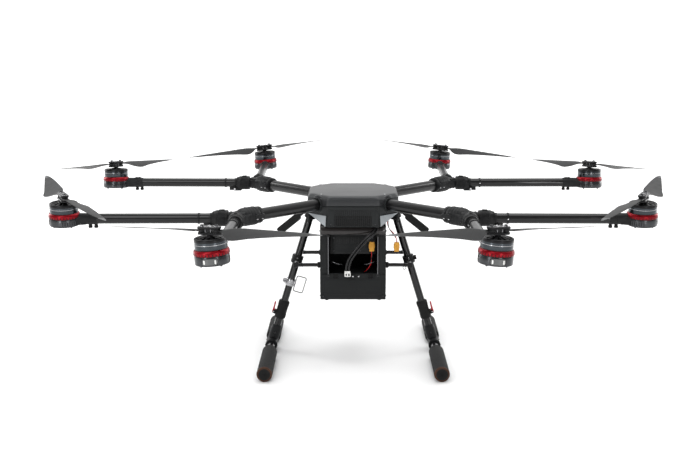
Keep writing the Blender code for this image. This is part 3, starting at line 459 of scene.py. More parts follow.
def beside(route, offset):
    """The route moved sideways, square to its own direction as seen from the front."""
    points = [Vector(point) for point in route]
    result = []
    for index, point in enumerate(points):
        before, after = points[max(index - 1, 0)], points[min(index + 1, len(points) - 1)]
        along = after - before
        result.append(point + Vector((-along.z, 0, along.x)).normalized() * offset)
    return result


# ---------------------------------------------------------------- camera, light and floor

def build_stage():
    camera = bpy.data.objects.new("camera", bpy.data.cameras.new("camera"))
    camera.data.lens = CAMERA_LENS
    camera.data.sensor_width = 36.0
    camera.location = CAMERA_PLACE
    camera.rotation_euler = (math.radians(90 - CAMERA_DOWN_DEG), 0, 0)
    bpy.context.scene.collection.objects.link(camera)
    bpy.context.scene.camera = camera

    world = bpy.data.worlds.new("studio")
    world.use_nodes = True
    nodes, links = world.node_tree.nodes, world.node_tree.links
    nodes["Background"].inputs["Color"].default_value = (1, 1, 1, 1)
    facing = nodes.new("ShaderNodeSeparateXYZ")
    links.new(nodes.new("ShaderNodeTexCoord").outputs["Generated"], facing.inputs["Vector"])
    falloff = nodes.new("ShaderNodeMapRange")  # the studio is darker in front of the object than behind it
    falloff.interpolation_type = "SMOOTHSTEP"
    falloff.inputs["From Min"].default_value, falloff.inputs["From Max"].default_value = WORLD_FALLOFF
    falloff.inputs["To Min"].default_value, falloff.inputs["To Max"].default_value = WORLD_STRENGTH
    links.new(facing.outputs["Y"], falloff.inputs["Value"])
    links.new(falloff.outputs["Result"], nodes["Background"].inputs["Strength"])
    bpy.context.scene.world = world
    bpy.context.scene.view_settings.view_transform = "Standard"

    for name, place, size, power in (
            ("key", (-1.2, -2.2, 2.6), (1.6, 1.6), 34),
            ("top", (0.2, 0.3, 2.6), (2.6, 1.6), 40),
            ("strip_left", (-1.5, -2.3, 0.8), (0.22, 1.5), 12),
            ("strip_right", (1.2, -2.6, 0.8), (0.22, 1.5), 12),
            ("rim_left", (-2.4, 1.2, 1.2), (0.6, 1.8), 26),
            ("rim_right", (2.4, 1.2, 1.2), (0.6, 1.8), 26)):
        lamp = bpy.data.lights.new(name, "AREA")
        lamp.shape = "RECTANGLE"
        lamp.size, lamp.size_y = size
        lamp.energy = power
        holder = bpy.data.objects.new(name, lamp)
        holder.location = place
        holder.rotation_euler = (Vector(place) - LAMP_AIM).to_track_quat("Z", "Y").to_euler()
        bpy.context.scene.collection.objects.link(holder)

    nodes, links = FLOOR.node_tree.nodes, FLOOR.node_tree.links
    distance = nodes.new("ShaderNodeVectorMath")
    distance.operation = "LENGTH"
    links.new(nodes.new("ShaderNodeTexCoord").outputs["Object"], distance.inputs[0])
    glow = nodes.new("ShaderNodeMapRange")  # the sweep around the object is lit by itself
    glow.inputs["From Min"].default_value, glow.inputs["From Max"].default_value = GLOW_REACH
    glow.inputs["To Max"].default_value = GLOW_STRENGTH
    links.new(distance.outputs["Value"], glow.inputs["Value"])
    shader = nodes["Principled BSDF"]
    shader.inputs["Emission Color"].default_value = (1, 1, 1, 1)
    links.new(glow.outputs["Result"], shader.inputs["Emission Strength"])

    ground = Shape()
    ground.block((-12, -8, -0.02), (12, 24, 0.0), FLOOR, soft=0)
    floor = bpy.data.objects.new("floor", ground.mesh("floor"))
    bpy.context.scene.collection.objects.link(floor)


# ---------------------------------------------------------------- leads

def lead_curve(name, points, radius, finish, node):
    curve = bpy.data.curves.new(name, "CURVE")
    curve.dimensions = "3D"
    spline = curve.splines.new("POLY")
    spline.points.add(len(points) - 1)
    for spot, point in zip(spline.points, points):
        spot.co = (*point, 1.0)
    curve.bevel_depth = radius
    curve.bevel_resolution = 5
    curve.use_fill_caps = True
    curve.materials.append(finish)
    made = bpy.data.objects.new(name, curve)
    bpy.context.scene.collection.objects.link(made)
    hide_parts(node)
    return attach(made, "airframe")


def strands(points, radius, turns):
    """Paths of two strands laid side by side round a route."""
    loops = swept(points, radius, STRAND_STEPS)
    last = len(points) - 1
    paths = []
    for half in (0, STRAND_STEPS // 2):
        paths.append([loop[(half + round(STRAND_STEPS * turns * index / last)) % STRAND_STEPS]
                      for index, loop in enumerate(loops)])
    return paths


def twin_lead(name, route, node, turns):
    """A red and a black wire laid together along a route."""
    points = smooth_route(route, 0.0012)
    shape = Shape()
    for path, finish in zip(strands(points, WIRE_R / 2, turns), (WIRE_RED, WIRE_BLACK)):
        shape.sweep(path, WIRE_R / 2, finish, sides=12)
    made = piece(name, shape.mesh(name), "airframe", stands_for=(node,))
    return made, points


def amber_plug(name, at, node, size=(0.016, 0.0082, 0.025)):
    """A two-pole power plug whose wires enter at the top."""
    x, y, z = size
    shape = Shape()
    outline = [(-x / 2, -y / 2), (x / 2 - 0.003, -y / 2), (x / 2, -y / 2 + 0.003), (x / 2, y / 2 - 0.003),
               (x / 2 - 0.003, y / 2), (-x / 2, y / 2)]
    shape.prism(outline, -z + 0.008, -0.005, AMBER, soft=0.0008)
    inner = [(px * 0.84, py * 0.8) for px, py in outline]
    shape.prism(inner, -z, -z + 0.009, AMBER, soft=0.0006)
    shape.prism(inner, -0.006, 0.0, AMBER, soft=0.001)
    for rib in range(3):
        low = -z + 0.0105 + rib * 0.0024
        shape.block((-x / 2 - 0.0003, -y / 2 - 0.0003, low), (x / 2 - 0.003, y / 2 + 0.0003, low + 0.0011),
                    AMBER, soft=0.0003)
    for side in (-1, 1):
        shape.turn([(0.0022, -z - 0.0002), (0.0022, -z + 0.002)], SILVER, shift(side * x * 0.24), sides=16)
    return piece(name, shape.mesh(name), "airframe", at, (node,))


def build_leads():
    half = MAIN_LEAD_SPACING / 2
    end = Vector(MAIN_LEAD_ROUTE[-1])
    shape = Shape()
    shape.block((-0.0082, -0.004, -0.015), (0.0082, 0.004, -0.004), WHITE, soft=0.0009)
    shape.block((-0.0074, -0.0034, -0.0045), (0.0074, 0.0034, 0.0), WHITE, soft=0.0007)
    for side in (-1, 1):
        shape.block((side * 0.0036 - 0.002, -0.0041, -0.0125), (side * 0.0036 + 0.002, 0.0041, -0.0065),
                    DARK, soft=0.0004)
    plug_at = shift(*(end - Vector((0, 0, PLUG_GAP))))
    plug = piece("supply_plug", shape.mesh("supply_plug"), "airframe", plug_at,
                 ("main_plug",))
    for letter, offset in (("a", -half), ("b", half)):
        points = smooth_route(beside(MAIN_LEAD_ROUTE, offset), 0.004)
        cord = lead_curve("supply_lead_" + letter, points, MAIN_LEAD_R, CABLE, "main_lead_" + letter)
    lead, points = twin_lead("module_wires", MODULE_LEAD_ROUTE, "module_lead", 1.5)
    start = Vector(MODULE_LEAD_ROUTE[0])
    plug = amber_plug("module_power_plug", shift(start.x, start.y, start.z + PLUG_GAP + 0.025), "module_plug")
    lead, points = twin_lead("side_wires", SIDE_LEAD_ROUTE, "side_lead", 1.0)
    end = Vector(SIDE_LEAD_ROUTE[-1])
    plug = amber_plug("spare_power_plug", shift(end.x, end.y, end.z - PLUG_GAP), "side_plug")


# ---------------------------------------------------------------- hub

def build_hub():
    lower = Shape()
    loops = [rounded_octagon(0.07, 0.004, HUB_BOTTOM_Z, half_y=0.1155),
             rounded_octagon(0.072, 0.004, HUB_BOTTOM_Z + 0.001, half_y=0.117),
             rounded_octagon(0.119, 0.0515, 0.3988), rounded_octagon(HUB_HALF, HUB_CHAMFER, 0.4006),
             rounded_octagon(HUB_HALF, HUB_CHAMFER, HUB_SPLIT_Z - 0.001),
             rounded_octagon(0.119, HUB_CHAMFER, HUB_SPLIT_Z)]
    lower.loft(loops, SHELL)
    lower.loft([rounded_octagon(0.1185, HUB_CHAMFER, HUB_SPLIT_Z - 0.0008),
                rounded_octagon(0.1185, HUB_CHAMFER, HUB_SPLIT_Z + 0.0002)], DARK)
    for corner in range(4):
        diagonal = shift(z=ARM_Z) @ turn_z(45 + 90 * corner)
        lower.turn([(0.0192, 0.095), (0.0195, 0.097), (0.0195, 0.129), (0.0188, 0.1296), (0.0188, 0.1304),
                    (0.0195, 0.131), (0.0195, 0.1362), (0.0187, 0.137), (0.017, 0.137), (0.0156, 0.1362)],
                   SHELL, diagonal @ ALONG_X)
        for side in (-1, 1):
            seat = (diagonal @ shift(0.1235, side * 0.019, -0.004)
                    @ Matrix.Rotation(-side * math.pi / 2, 4, "X"))
            lower.screw(seat, 0.0021)
    for quarter, vented in ((0, True), (90, False), (180, True), (270, False)):
        side_panel(lower, turn_z(quarter), vented)
    for sx in (-1, 1):
        for sy in (-1, 1):
            facet_panel(lower, Matrix.Diagonal((sx, -sy, 1, 1)))
            lower.screw(shift(sx * 0.06, sy * 0.104, HUB_BOTTOM_Z) @ UPSIDE_DOWN, 0.0024)
    piece("hub_lower_shell", lower.mesh("hub_lower_shell"), "airframe", None, ("hub_shell",))

    cover = Shape()
    base = HUB_SPLIT_Z + 0.0004
    rows = ((0.1192, 0.052, base, 0.006), (0.12, 0.052, base + 0.001, 0.006), (0.12, 0.052, 0.4392, 0.007),
            (0.1197, 0.052, 0.4408, 0.008), (0.1189, 0.0517, 0.4423, 0.009), (0.116, 0.0509, 0.4458, 0.012),
            (0.1137, 0.0503, 0.448, 0.014), (0.1115, 0.0498, 0.4492, 0.016), (0.109, 0.0492, 0.4498, 0.018),
            (0.1055, 0.0484, 0.45, 0.02))
    cover.loft([rounded_octagon(half, chamfer, height, radius, 6) for half, chamfer, height, radius in rows],
               COVER)
    for corner in range(4):
        diagonal = shift(z=ARM_Z) @ turn_z(45 + 90 * corner)
        hump(cover, diagonal)
        cover.screw(shift(z=0.449) @ turn_z(45 + 90 * corner) @ shift(0.118, 0.0) @ turn_y(8), 0.0019,
                    SCREW_LIGHT)
    piece("hub_top_cover", cover.mesh("hub_top_cover"), "airframe", None, ("top_cover",))

    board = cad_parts["flight_controller"]
    board.data.materials.clear()
    board.data.materials.append(MODULE)


def hump(shape, at):
    """The half-round bulge of the cover over one arm socket."""
    loops = []
    arc = [math.pi * (0.005 + 0.99 * step / 28) for step in range(29)]
    for out, radius in ((0.07, 0.0255), (0.128, 0.0255), (0.1298, 0.0251), (0.1307, 0.0242),
                        (0.131, 0.023)):
        outer = [(out, radius * math.cos(a), max(radius * math.sin(a), 0.0002)) for a in arc]
        inner = [(out, HUMP_BORE_R * math.cos(a), max(HUMP_BORE_R * math.sin(a), 0.0002))
                 for a in reversed(arc)]
        loops.append(outer + inner)
    shape.loft(loops, COVER, at)


def facet_panel(shape, at):
    """The light three-cornered panel on one slanting lower face of the hub."""
    face = [Vector(corner) for corner in ((0.0728, -0.115, 0.37), (0.0722, -0.1175, 0.3705),
                                          (0.0705, -0.1192, 0.3985), (0.1183, -0.0712, 0.3985))]
    normal = (face[3] - face[0]).cross(face[2] - face[0]).normalized() * 0.001
    if normal.x < 0:
        normal = -normal
    shape.loft([[tuple(p - normal) for p in face], [tuple(p + normal) for p in face]], FACET, at, soft=0.0005)


def side_panel(shape, at, vented):
    """A framed panel on one upright side of the hub, with a ribbed vent where it has one."""
    y = -0.1204
    shape.block((-0.066, y - 0.0006, 0.4145), (0.066, y + 0.004, 0.4225), SHELL, at, 0.0008)
    shape.block((-0.066, y + 0.0004, 0.3695), (0.066, y + 0.004, 0.3725), SHELL, at, 0.0008)
    for side in (-1, 1):
        shape.block((side * 0.048, y - 0.0002, 0.3712), (side * 0.066, y + 0.004, 0.415), SHELL, at, 0.001)
        shape.screw(at @ shift(side * 0.0575, y - 0.0002, 0.3765) @ FACING_FRONT, 0.0017)
    if vented:
        shape.block((-0.0485, y + 0.0012, 0.3722), (0.0485, y + 0.006, 0.415), DARK, at, 0)
        count = 19
        for rib in range(count):
            x = -0.045 + 0.09 * rib / (count - 1)
            shape.block((x - 0.0013, y - 0.0003, 0.3728), (x + 0.0013, y + 0.004, 0.414), RIB, at, 0.0005)
        shape.block((-0.048, y + 0.0002, 0.3925), (0.048, y + 0.003, 0.3938), RIB, at, 0.0003)
    else:
        shape.block((-0.0485, y + 0.0004, 0.3722), (0.0485, y + 0.006, 0.415), SHELL, at, 0.0006)
        for line in range(4):
            z = 0.38 + line * 0.0085
            shape.block((-0.04, y - 0.0004, z), (0.04, y + 0.003, z + 0.003), RIB, at, 0.0007)


# ---------------------------------------------------------------- arms

def motor_points():
    points = []
    for index in range(8):
        angle = math.radians(FIRST_MOTOR_DEG - MOTOR_STEP_DEG * index)
        points.append(Vector((MOTOR_CIRCLE_R * math.cos(angle), MOTOR_CIRCLE_R * math.sin(angle), ARM_Z)))
    return points


def junction_of(motor):
    return Vector((math.copysign(JUNCTION_XY, motor.x), math.copysign(JUNCTION_XY, motor.y), ARM_Z))


def arm_azimuth(motor):
    reach = motor - junction_of(motor)
    return math.degrees(math.atan2(reach.y, reach.x))


def lean_side(motor):
    azimuth = math.radians(arm_azimuth(motor))
    left = Vector((-math.sin(azimuth), math.cos(azimuth), 0.0))
    if abs(motor.y) > abs(motor.x):
        outward = Vector((math.copysign(1, motor.x), 0, 0))
    else:
        outward = Vector((0, math.copysign(1, motor.y), 0))
    return 1 if left.dot(outward) > 0 else -1


def cant_of(lean):
    return Matrix.Rotation(math.radians(-lean * CANT_DEG), 4, "X")


def prop_angle(motor):
    tilt = FRONT_PROP_DEG if abs(motor.y) > abs(motor.x) else SIDE_PROP_DEG
    falling = (motor.x < 0) == (motor.y < 0)
    return (-tilt if falling else tilt) - arm_azimuth(motor)


def main_arm_mesh():
    """One main arm: +X away from the hub, origin at the crossing of the outer arms' axes."""
    shape = Shape()
    shape.turn([(0.015, -0.302), (0.015, -0.062)], CARBON, ALONG_X, 56)
    shape.turn([(0.019, -0.07), (0.0206, -0.0692), (0.021, -0.068), (0.021, -0.061), (0.02, -0.0604),
                (0.02, -0.0586), (0.0212, -0.058), (0.0225, -0.054), (0.0225, -0.018), (0.0218, -0.0135),
                (0.0195, -0.008), (0.0155, -0.001), (0.009, 0.005)], CAST, ALONG_X, 56)
    for step in range(4):
        start = -0.0515 + step * 0.0085
        shape.turn([(0.0222, start), (0.023, start + 0.0006), (0.023, start + 0.003),
                    (0.0222, start + 0.0036)], CAST, ALONG_X, 56)
    for side in (-1, 1):
        flange = [(-0.069, side * 0.0175), (-0.069, side * 0.0238), (-0.0665, side * 0.0252),
                  (-0.04, side * 0.0252), (-0.036, side * 0.0215)]
        shape.prism(flange, -0.0052, 0.0052, CAST, None, 0.0009)
        for x in (-0.062, -0.046):
            shape.screw(shift(x, side * 0.0222, 0.0052), 0.0024)
            shape.screw(shift(x, side * 0.0222, -0.0052) @ UPSIDE_DOWN, 0.0024, SCREW_LIGHT)
    spread = arm_azimuth(motor_points()[6]) - 45.0
    web = [(-0.03, -0.0215), (-0.01, -0.0225), (0.015, -0.03), (0.0205, -0.0225), (0.0105, -0.006),
           (0.012, 0.0), (0.0105, 0.006), (0.0205, 0.0225), (0.015, 0.03), (-0.01, 0.0225), (-0.03, 0.0215)]
    shape.prism(web, -0.0095, 0.0095, CAST, None, 0.0016)
    shape.prism([(x * 0.8 - 0.004, y * 0.72) for x, y in web], -0.014, 0.014, CAST, None, 0.0016)
    cap = [(0.013, -0.0145), (0.02, -0.0075), (0.0225, 0.0), (0.02, 0.0075), (0.013, 0.0145), (0.002, 0.0105),
           (-0.002, 0.0), (0.002, -0.0105)]
    shape.prism(cap, -0.0118, 0.0118, CAST, None, 0.0012)
    shape.screw(shift(0.0125, 0, 0.0118), 0.0026)
    shape.screw(shift(-0.024, 0, 0.0222), 0.0024)
    for side in (-1, 1):
        branch(shape, turn_z(side * spread))
    return shape.mesh("main_arm")


def branch(shape, at):
    """One branch of the casting with its neck, lock collar and hinge ears: +X along the outer arm."""
    along = at @ ALONG_X
    shape.turn([(0.0155, -0.02), (0.0157, 0.0125), (0.0168, 0.0135), (0.0168, 0.0165), (0.0157, 0.0175),
                (0.015, 0.0182), (0.015, 0.0235)], CAST, along)
    shape.turn([(0.0184, 0.0218), (0.0196, 0.0224), (0.0198, 0.0234), (0.0198, 0.0258), (0.0192, 0.0262)],
               COLLAR, along, 64)
    shape.turn([(0.0187, 0.0258), (0.0187, 0.0268)], SCREW_LIGHT, along, 64)
    shape.ribbed([(0.0192, 0.0262, 0.0), (0.0198, 0.0276, 0.0009), (0.0198, 0.0452, 0.0009),
                  (0.0193, 0.0466, 0.0004)], 30, COLLAR, along)
    shape.turn([(0.0193, 0.0462), (0.0198, 0.047), (0.0198, 0.05), (0.0191, 0.0508), (0.0189, 0.0528),
                (0.0182, 0.0534), (0.0172, 0.0572), (0.0163, 0.06), (0.015, 0.0603), (0.0134, 0.06)],
               COLLAR, along, 64)
    hinge = at @ shift(HINGE_OUT, 0, -HINGE_DROP)
    for side in (-1, 1):
        outline = [(-0.02, -0.0048), (-0.001, -0.005)]
        outline += [(0.005 * math.cos(a), 0.005 * math.sin(a)) for a in
                    [math.pi * (step / 10 - 0.5) for step in range(1, 10)]]
        outline += [(-0.001, 0.005), (-0.02, 0.005)]
        low, high = sorted((side * 0.0066, side * 0.0105))
        shape.prism([(x, -z) for x, z in outline], low, high, COLLAR,
                    hinge @ FACING_FRONT @ Matrix.Scale(-1, 4, (0, 0, 1)), 0.0006)
        cap = hinge @ shift(0, side * 0.0105, 0) @ Matrix.Rotation(-side * math.pi / 2, 4, "X")
        shape.screw(cap, 0.003, SCREW_LIGHT)
    shape.turn([(0.0019, -0.0105), (0.0019, 0.0105)], STEEL, hinge @ ALONG_Y, 16)
    shape.block((0.03, -0.0035, 0.018), (0.044, 0.0035, 0.0214), COLLAR, at, 0.001)
    shape.turn([(0.0022, 0.019), (0.0022, 0.0218)], RUBBER, at @ shift(0.034), 16)


def curved_plate(shape, inner, outer, half_angle, low, high, corner, finish, at):
    """A plate with rounded ends that lies on a cylinder about Z, centred on +X."""
    loops = []
    steps = 20
    for step in range(steps + 1):
        angle = half_angle * (2 * step / steps - 1)
        from_end = (half_angle - abs(angle)) * outer
        cut = 0.0 if from_end > corner else corner - math.sqrt(max(0, corner ** 2 - (corner - from_end) ** 2))
        cut = min(cut, (high - low) / 2 - 0.0006)
        edge = 0.0005
        c, s = math.cos(angle), math.sin(angle)
        rim = (outer * c - edge * c, outer * s - edge * s)
        loops.append([(inner * c, inner * s, low + cut), (*rim, low + cut),
                      (outer * c, outer * s, low + cut + edge), (outer * c, outer * s, high - cut - edge),
                      (*rim, high - cut), (inner * c, inner * s, high - cut)])
    shape.loft(loops, finish, at)


def motor_mount(shape, at):
    """Motor housing under the bell: +Z up the motor axis, +X outwards along the arm."""
    shape.turn([(0.03, -0.015), (0.0335, -0.015), (0.0352, -0.0146), (0.0362, -0.0136), (0.0365, -0.0122),
                (0.0365, 0.0036), (0.0361, 0.0046), (0.0352, 0.005), (0.0352, 0.0058)], ANODISED, at, 72)
    shape.turn([(0.0352, 0.0052), (0.0366, 0.0056), (0.0373, 0.0064), (0.0375, 0.0074), (0.0375, 0.0126),
                (0.0371, 0.0138), (0.0362, 0.0154), (0.0352, 0.0164), (0.0338, 0.017), (0.032, 0.0166)],
               RED_METAL, at, 72)
    # Dark strips across the red ring mark the gaps between its teeth: partly the motor's dark inside, partly
    # painted shade in the gaps
    for notch in range(32):
        shape.block((0.0362, -0.001, 0.0062), (0.0376, 0.001, 0.0106), DARK, at @ turn_z(11.25 * notch),
                    0.0002)
    curved_plate(shape, 0.035, 0.0368, 0.5, -0.0128, 0.003, 0.006, BLACK_METAL, at)
    curved_plate(shape, 0.035, 0.0373, 0.45, -0.0116, 0.0018, 0.0052, LENS, at)
    # Two painted highlights: white strips at either end of the lamp lens stand for reflections of the studio
    # lights, not for the lamp's LEDs
    for lamp in (-18, 18):
        curved_plate(shape, 0.036, 0.0375, 0.045, -0.0095, -0.0005, 0.0014, WHITE, at @ turn_z(lamp))
    for quarter in range(4):
        arm = at @ turn_z(45 + 90 * quarter)
        shape.turn([(0.003, -0.0162), (0.0034, -0.0158), (0.0034, -0.0146)], BLACK_METAL,
                   arm @ shift(0.029), 20)
        shape.screw(arm @ shift(0.029, 0, -0.016) @ UPSIDE_DOWN, 0.0021)
        shape.block((0.006, -0.0028, -0.0158), (0.024, 0.0028, -0.0148), BLACK_METAL, arm, 0.0005)
    shape.turn([(0.0085, -0.016), (0.0085, -0.0148)], SILVER, at, 32)
    for slot in range(7):
        for angle in (96 + 9 * slot, -96 - 9 * slot):
            shape.block((0.0353, -0.0008, -0.01), (0.0368, 0.0008, -0.001), DARK, at @ turn_z(angle), 0.0002)


def outer_arm_mesh(lean):
    """One outer arm: +X along its axis, origin at the crossing of the arm axes."""
    length = (motor_points()[0] - junction_of(motor_points()[0])).length
    shape = Shape()
    shape.turn([(0.0125, 0.0612), (0.0125, length - 0.03)], CARBON, ALONG_X, 56)
    shape.turn([(0.0129, 0.061), (0.0136, 0.0614), (0.0136, 0.066), (0.0129, 0.0666)], COLLAR, ALONG_X)
    shape.turn([(0.0129, 0.0906), (0.0139, 0.091), (0.014, 0.0918), (0.014, 0.0942), (0.0139, 0.095),
                (0.0129, 0.0954)], COLLAR, ALONG_X)
    shape.screw(shift(0.093, -0.0139, 0.0) @ FACING_FRONT, 0.0016, SCREW_LIGHT)
    tongue = [(0.0158, -0.0045)]
    tongue += [(-0.0045 * math.cos(a), -0.0045 * math.sin(a)) for a in
               [math.pi * (0.5 - s / 10) for s in range(11)]]
    tongue += [(0.0, 0.0108), (0.0158, 0.0108)]
    shape.prism(tongue, -0.0058, 0.0058, COLLAR, shift(HINGE_OUT, 0, -HINGE_DROP) @ FACING_FRONT, 0.0006)
    start = length - 0.08
    shape.turn([(0.0129, start), (0.0139, start + 0.001), (0.014, start + 0.002), (0.014, start + 0.015),
                (0.0134, start + 0.0156), (0.0134, start + 0.0176), (0.014, start + 0.0182),
                (0.014, length - 0.033)], CAST, ALONG_X)
    saddle = [(length - 0.054, -0.012), (length - 0.04, -0.0142), (length - 0.03, -0.019),
              (length - 0.03, 0.019), (length - 0.04, 0.0142), (length - 0.054, 0.012)]
    shape.prism(saddle, -0.0125, 0.0075, CAST, cant_of(lean), 0.002)
    shape.block((length - 0.074, -0.006, 0.012), (length - 0.056, 0.006, 0.015), CAST, None, 0.0012)
    shape.screw(shift(length - 0.069, 0, 0.0148), 0.0019)
    shape.screw(shift(length - 0.0615, 0, 0.0148), 0.0019)
    for offset in (0.062, 0.076):
        shape.turn([(0.004, -0.0225), (0.0049, -0.0218), (0.005, -0.0208), (0.005, -0.017), (0.004, -0.016),
                    (0.004, -0.006)], RUBBER, shift(length - offset), 20)
    motor_mount(shape, shift(length) @ cant_of(lean))
    return shape.mesh("outer_arm")


def rotor_mesh():
    """Motor bell and propeller clamp: +Z up the motor axis, blades along X."""
    shape = Shape()
    shape.turn([(0.032, 0.0175), (0.0336, 0.0176), (0.034, 0.0182), (0.034, 0.0268), (0.0336, 0.0272)],
               BLUE_METAL, None, 72)
    shape.turn([(0.0335, 0.027), (0.0341, 0.0273), (0.0341, 0.0283), (0.0335, 0.0286)], SILVER, None, 72)
    shape.turn([(0.033, 0.0284), (0.0337, 0.0286), (0.0337, 0.033), (0.033, 0.0333)], BLUE_METAL, None, 72)
    rim = [(0.03, 0.033), (0.0338, 0.033), (0.034, 0.0338), (0.034, 0.0382), (0.0334, 0.0396),
           (0.0318, 0.0404), (0.03, 0.0402), (0.0292, 0.039)]
    shape.hoop(rim, BLACK_METAL, sides=72)
    shape.turn([(0.0325, 0.018), (0.0325, 0.0325)], WINDING, None, 48)
    z0, z1 = 0.037, 0.0425
    for spoke in range(12):
        shape.loft([[(0.0095, -0.0024, z0), (0.0095, 0.0024, z0), (0.0095, 0.002, z1), (0.0095, -0.002, z1)],
                    [(0.0305, -0.0042, z0 - 0.002), (0.0305, 0.0042, z0 - 0.002),
                     (0.0305, 0.0036, z1 - 0.003), (0.0305, -0.0036, z1 - 0.003)]],
                   BLACK_METAL, turn_z(30 * spoke + 15), 0.0004)
    shape.turn([(0.012, 0.036), (0.0125, 0.042), (0.0118, 0.043), (0.007, 0.043), (0.0065, 0.044),
                (0.0065, 0.06)], BLACK_METAL, None, 32)
    low, high = PROP_PLANE - 0.0036, PROP_PLANE + 0.0036
    for base, top in ((low - 0.0046, low), (high, high + 0.0046)):
        shape.loft([stadium(PROP_PIN_OFFSET, r, z) for r, z in
                    ((0.0092, base), (0.01, base + 0.0008), (0.01, top - 0.0008), (0.0092, top))],
                   BLACK_METAL)
    for side in (-1, 1):
        at = shift(side * PROP_PIN_OFFSET)
        shape.turn([(0.0022, low - 0.001), (0.0022, high + 0.001)], STEEL, at, 20)
        shape.turn([(0.0048, high + 0.0044), (0.005, high + 0.005), (0.0046, high + 0.0056)], SILVER, at, 28)
        shape.screw(at @ shift(z=high + 0.0056), 0.0036)
        for y in (-0.0052, 0.0052):
            shape.screw(shift(side * 0.0065, y, high + 0.0046), 0.0018, SCREW_LIGHT)
            shape.turn([(0.0016, low - 0.001), (0.0016, high + 0.001)], STEEL, shift(side * 0.0065, y), 14)
    shape.turn([(0.0046, high + 0.0044), (0.0048, high + 0.0052), (0.003, high + 0.0056)], SILVER, None, 28)
    return shape.mesh("rotor")


def stadium(half, radius, height, sides=12):
    points = []
    for side in (1, -1):
        for step in range(sides + 1):
            angle = math.pi * (step / sides - 0.5)
            points.append((side * (half + radius * math.cos(angle)), side * radius * math.sin(angle), height))
    return points


BLADE_STATIONS = (  # span from the pin, leading edge, trailing edge, pitch in degrees, half thickness
    (0.002, 0.0074, -0.0074, 0, 0.0026), (0.015, 0.0078, -0.0078, 3, 0.0026),
    (0.032, 0.0105, -0.023, 17, 0.0022), (0.055, 0.013, -0.037, 18, 0.0019),
    (0.095, 0.012, -0.03, 15, 0.0016), (0.165, 0.009, -0.0195, 10, 0.0012),
    (0.228, 0.003, -0.0105, 8, 0.0008), (PROP_R - PROP_PIN_OFFSET, -0.002, -0.006, 7, 0.0005))


def blade_mesh(hand):
    """One blade from its pin: +X outwards, leading edge towards +Y where hand is 1."""
    rows = []
    for index in range(len(BLADE_STATIONS) - 1):
        p1, p2 = BLADE_STATIONS[index], BLADE_STATIONS[index + 1]
        p0 = BLADE_STATIONS[max(index - 1, 0)]
        p3 = BLADE_STATIONS[min(index + 2, len(BLADE_STATIONS) - 1)]
        for step in range(8):
            t = step / 8
            rows.append([spline_value(p0[k], p1[k], p2[k], p3[k], p0[0], p1[0], p2[0], p3[0], t)
                         for k in range(5)])
    rows.append(list(BLADE_STATIONS[-1]))
    loops = []
    shares = [0.0, 0.02, 0.07, 0.16, 0.3, 0.48, 0.66, 0.84, 1.0]
    for span, lead, trail, pitch, thick in rows:
        slope = math.radians(pitch)
        upper = [(lead + (trail - lead) * c, thick * section_height(c)) for c in shares]
        lower = [(y, -z * 0.7) for y, z in reversed(upper[1:-1])]
        tail = [(trail, -thick * 0.08)]
        loops.append([(span, hand * (y * math.cos(slope) - z * math.sin(slope)),
                       y * math.sin(slope) + z * math.cos(slope)) for y, z in upper + tail + lower])
    shape = Shape()
    shape.loft(loops, BLADE)
    shape.turn([(0.0074, -0.0031), (0.008, -0.0026), (0.008, 0.0026), (0.0074, 0.0031)], BLADE, None, 36)
    return shape.mesh("blade")


def spline_value(v0, v1, v2, v3, x0, x1, x2, x3, t):
    """A smooth value between v1 and v2 with slopes taken from the neighbours' positions."""
    step = x2 - x1
    m1 = (v2 - v0) / (x2 - x0) * step
    m2 = (v3 - v1) / (x3 - x1) * step
    return ((2 * t ** 3 - 3 * t ** 2 + 1) * v1 + (t ** 3 - 2 * t ** 2 + t) * m1
            + (-2 * t ** 3 + 3 * t ** 2) * v2 + (t ** 3 - t ** 2) * m2)


def section_height(share):
    return max(0.08, 1.9 * math.sqrt(share) * (1 - share) + 0.1 * (1 - share))


def fold_sense(motor, pin):
    outwards = pin.to_3x3() @ Vector((1, 0, 0))
    return 1 if outwards.cross(junction_of(motor) - motor).z > 0 else -1


def build_arms():
    main = main_arm_mesh()
    for corner, side in enumerate(("front_left", "rear_left", "rear_right", "front_right")):
        junction = junction_of(motor_points()[2 * corner])
        at = Matrix.Translation(junction) @ turn_z(math.degrees(math.atan2(junction.y, junction.x)))
        piece("arm_tube_" + side, main, "airframe", at, ("main_arm_" + side,))
    arms = {lean: outer_arm_mesh(lean) for lean in (-1, 1)}
    blades = {hand: blade_mesh(hand) for hand in (-1, 1)}
    bell = rotor_mesh()
    for index, motor in enumerate(motor_points()):
        number = str(index + 1)
        azimuth = arm_azimuth(motor)
        lean = lean_side(motor)
        at = Matrix.Translation(junction_of(motor)) @ turn_z(azimuth)
        piece("motor_arm_" + number, arms[lean], "outer_arm_" + number, at, ("outer_arm_" + number,))
        hub = Matrix.Translation(motor) @ turn_z(azimuth) @ cant_of(lean) @ turn_z(prop_angle(motor))
        piece("motor_bell_" + number, bell, "rotor_" + number, hub, ("rotor_" + number,))
        hand = 1 if index % 2 == 0 else -1
        relaxed = abs(motor.x) > abs(motor.y) and motor.y < 0
        for letter, half_turn in (("a", 0), ("b", 180)):
            pin = hub @ turn_z(half_turn) @ shift(PROP_PIN_OFFSET, 0, PROP_PLANE)
            if relaxed:
                pin = pin @ turn_z(fold_sense(motor, pin) * RELAXED_FOLD_DEG)
            name = number + letter
            piece("prop_blade_" + name, blades[hand], "blade_" + name, pin, ("blade_" + name,))


# ---------------------------------------------------------------- landing gear

def leg_slope():
    return math.atan2(SKID_X - LEG_TOP[0], LEG_TOP[1] - SKID_Z)


def leg_frame(side):
    """Origin at the skid's axis, +Z up the leg, +X to the drone's right."""
    return shift(side * SKID_X, 0, SKID_Z) @ Matrix.Rotation(-side * leg_slope(), 4, "Y")


def up_leg(z):
    return (z - SKID_Z) / math.cos(leg_slope())


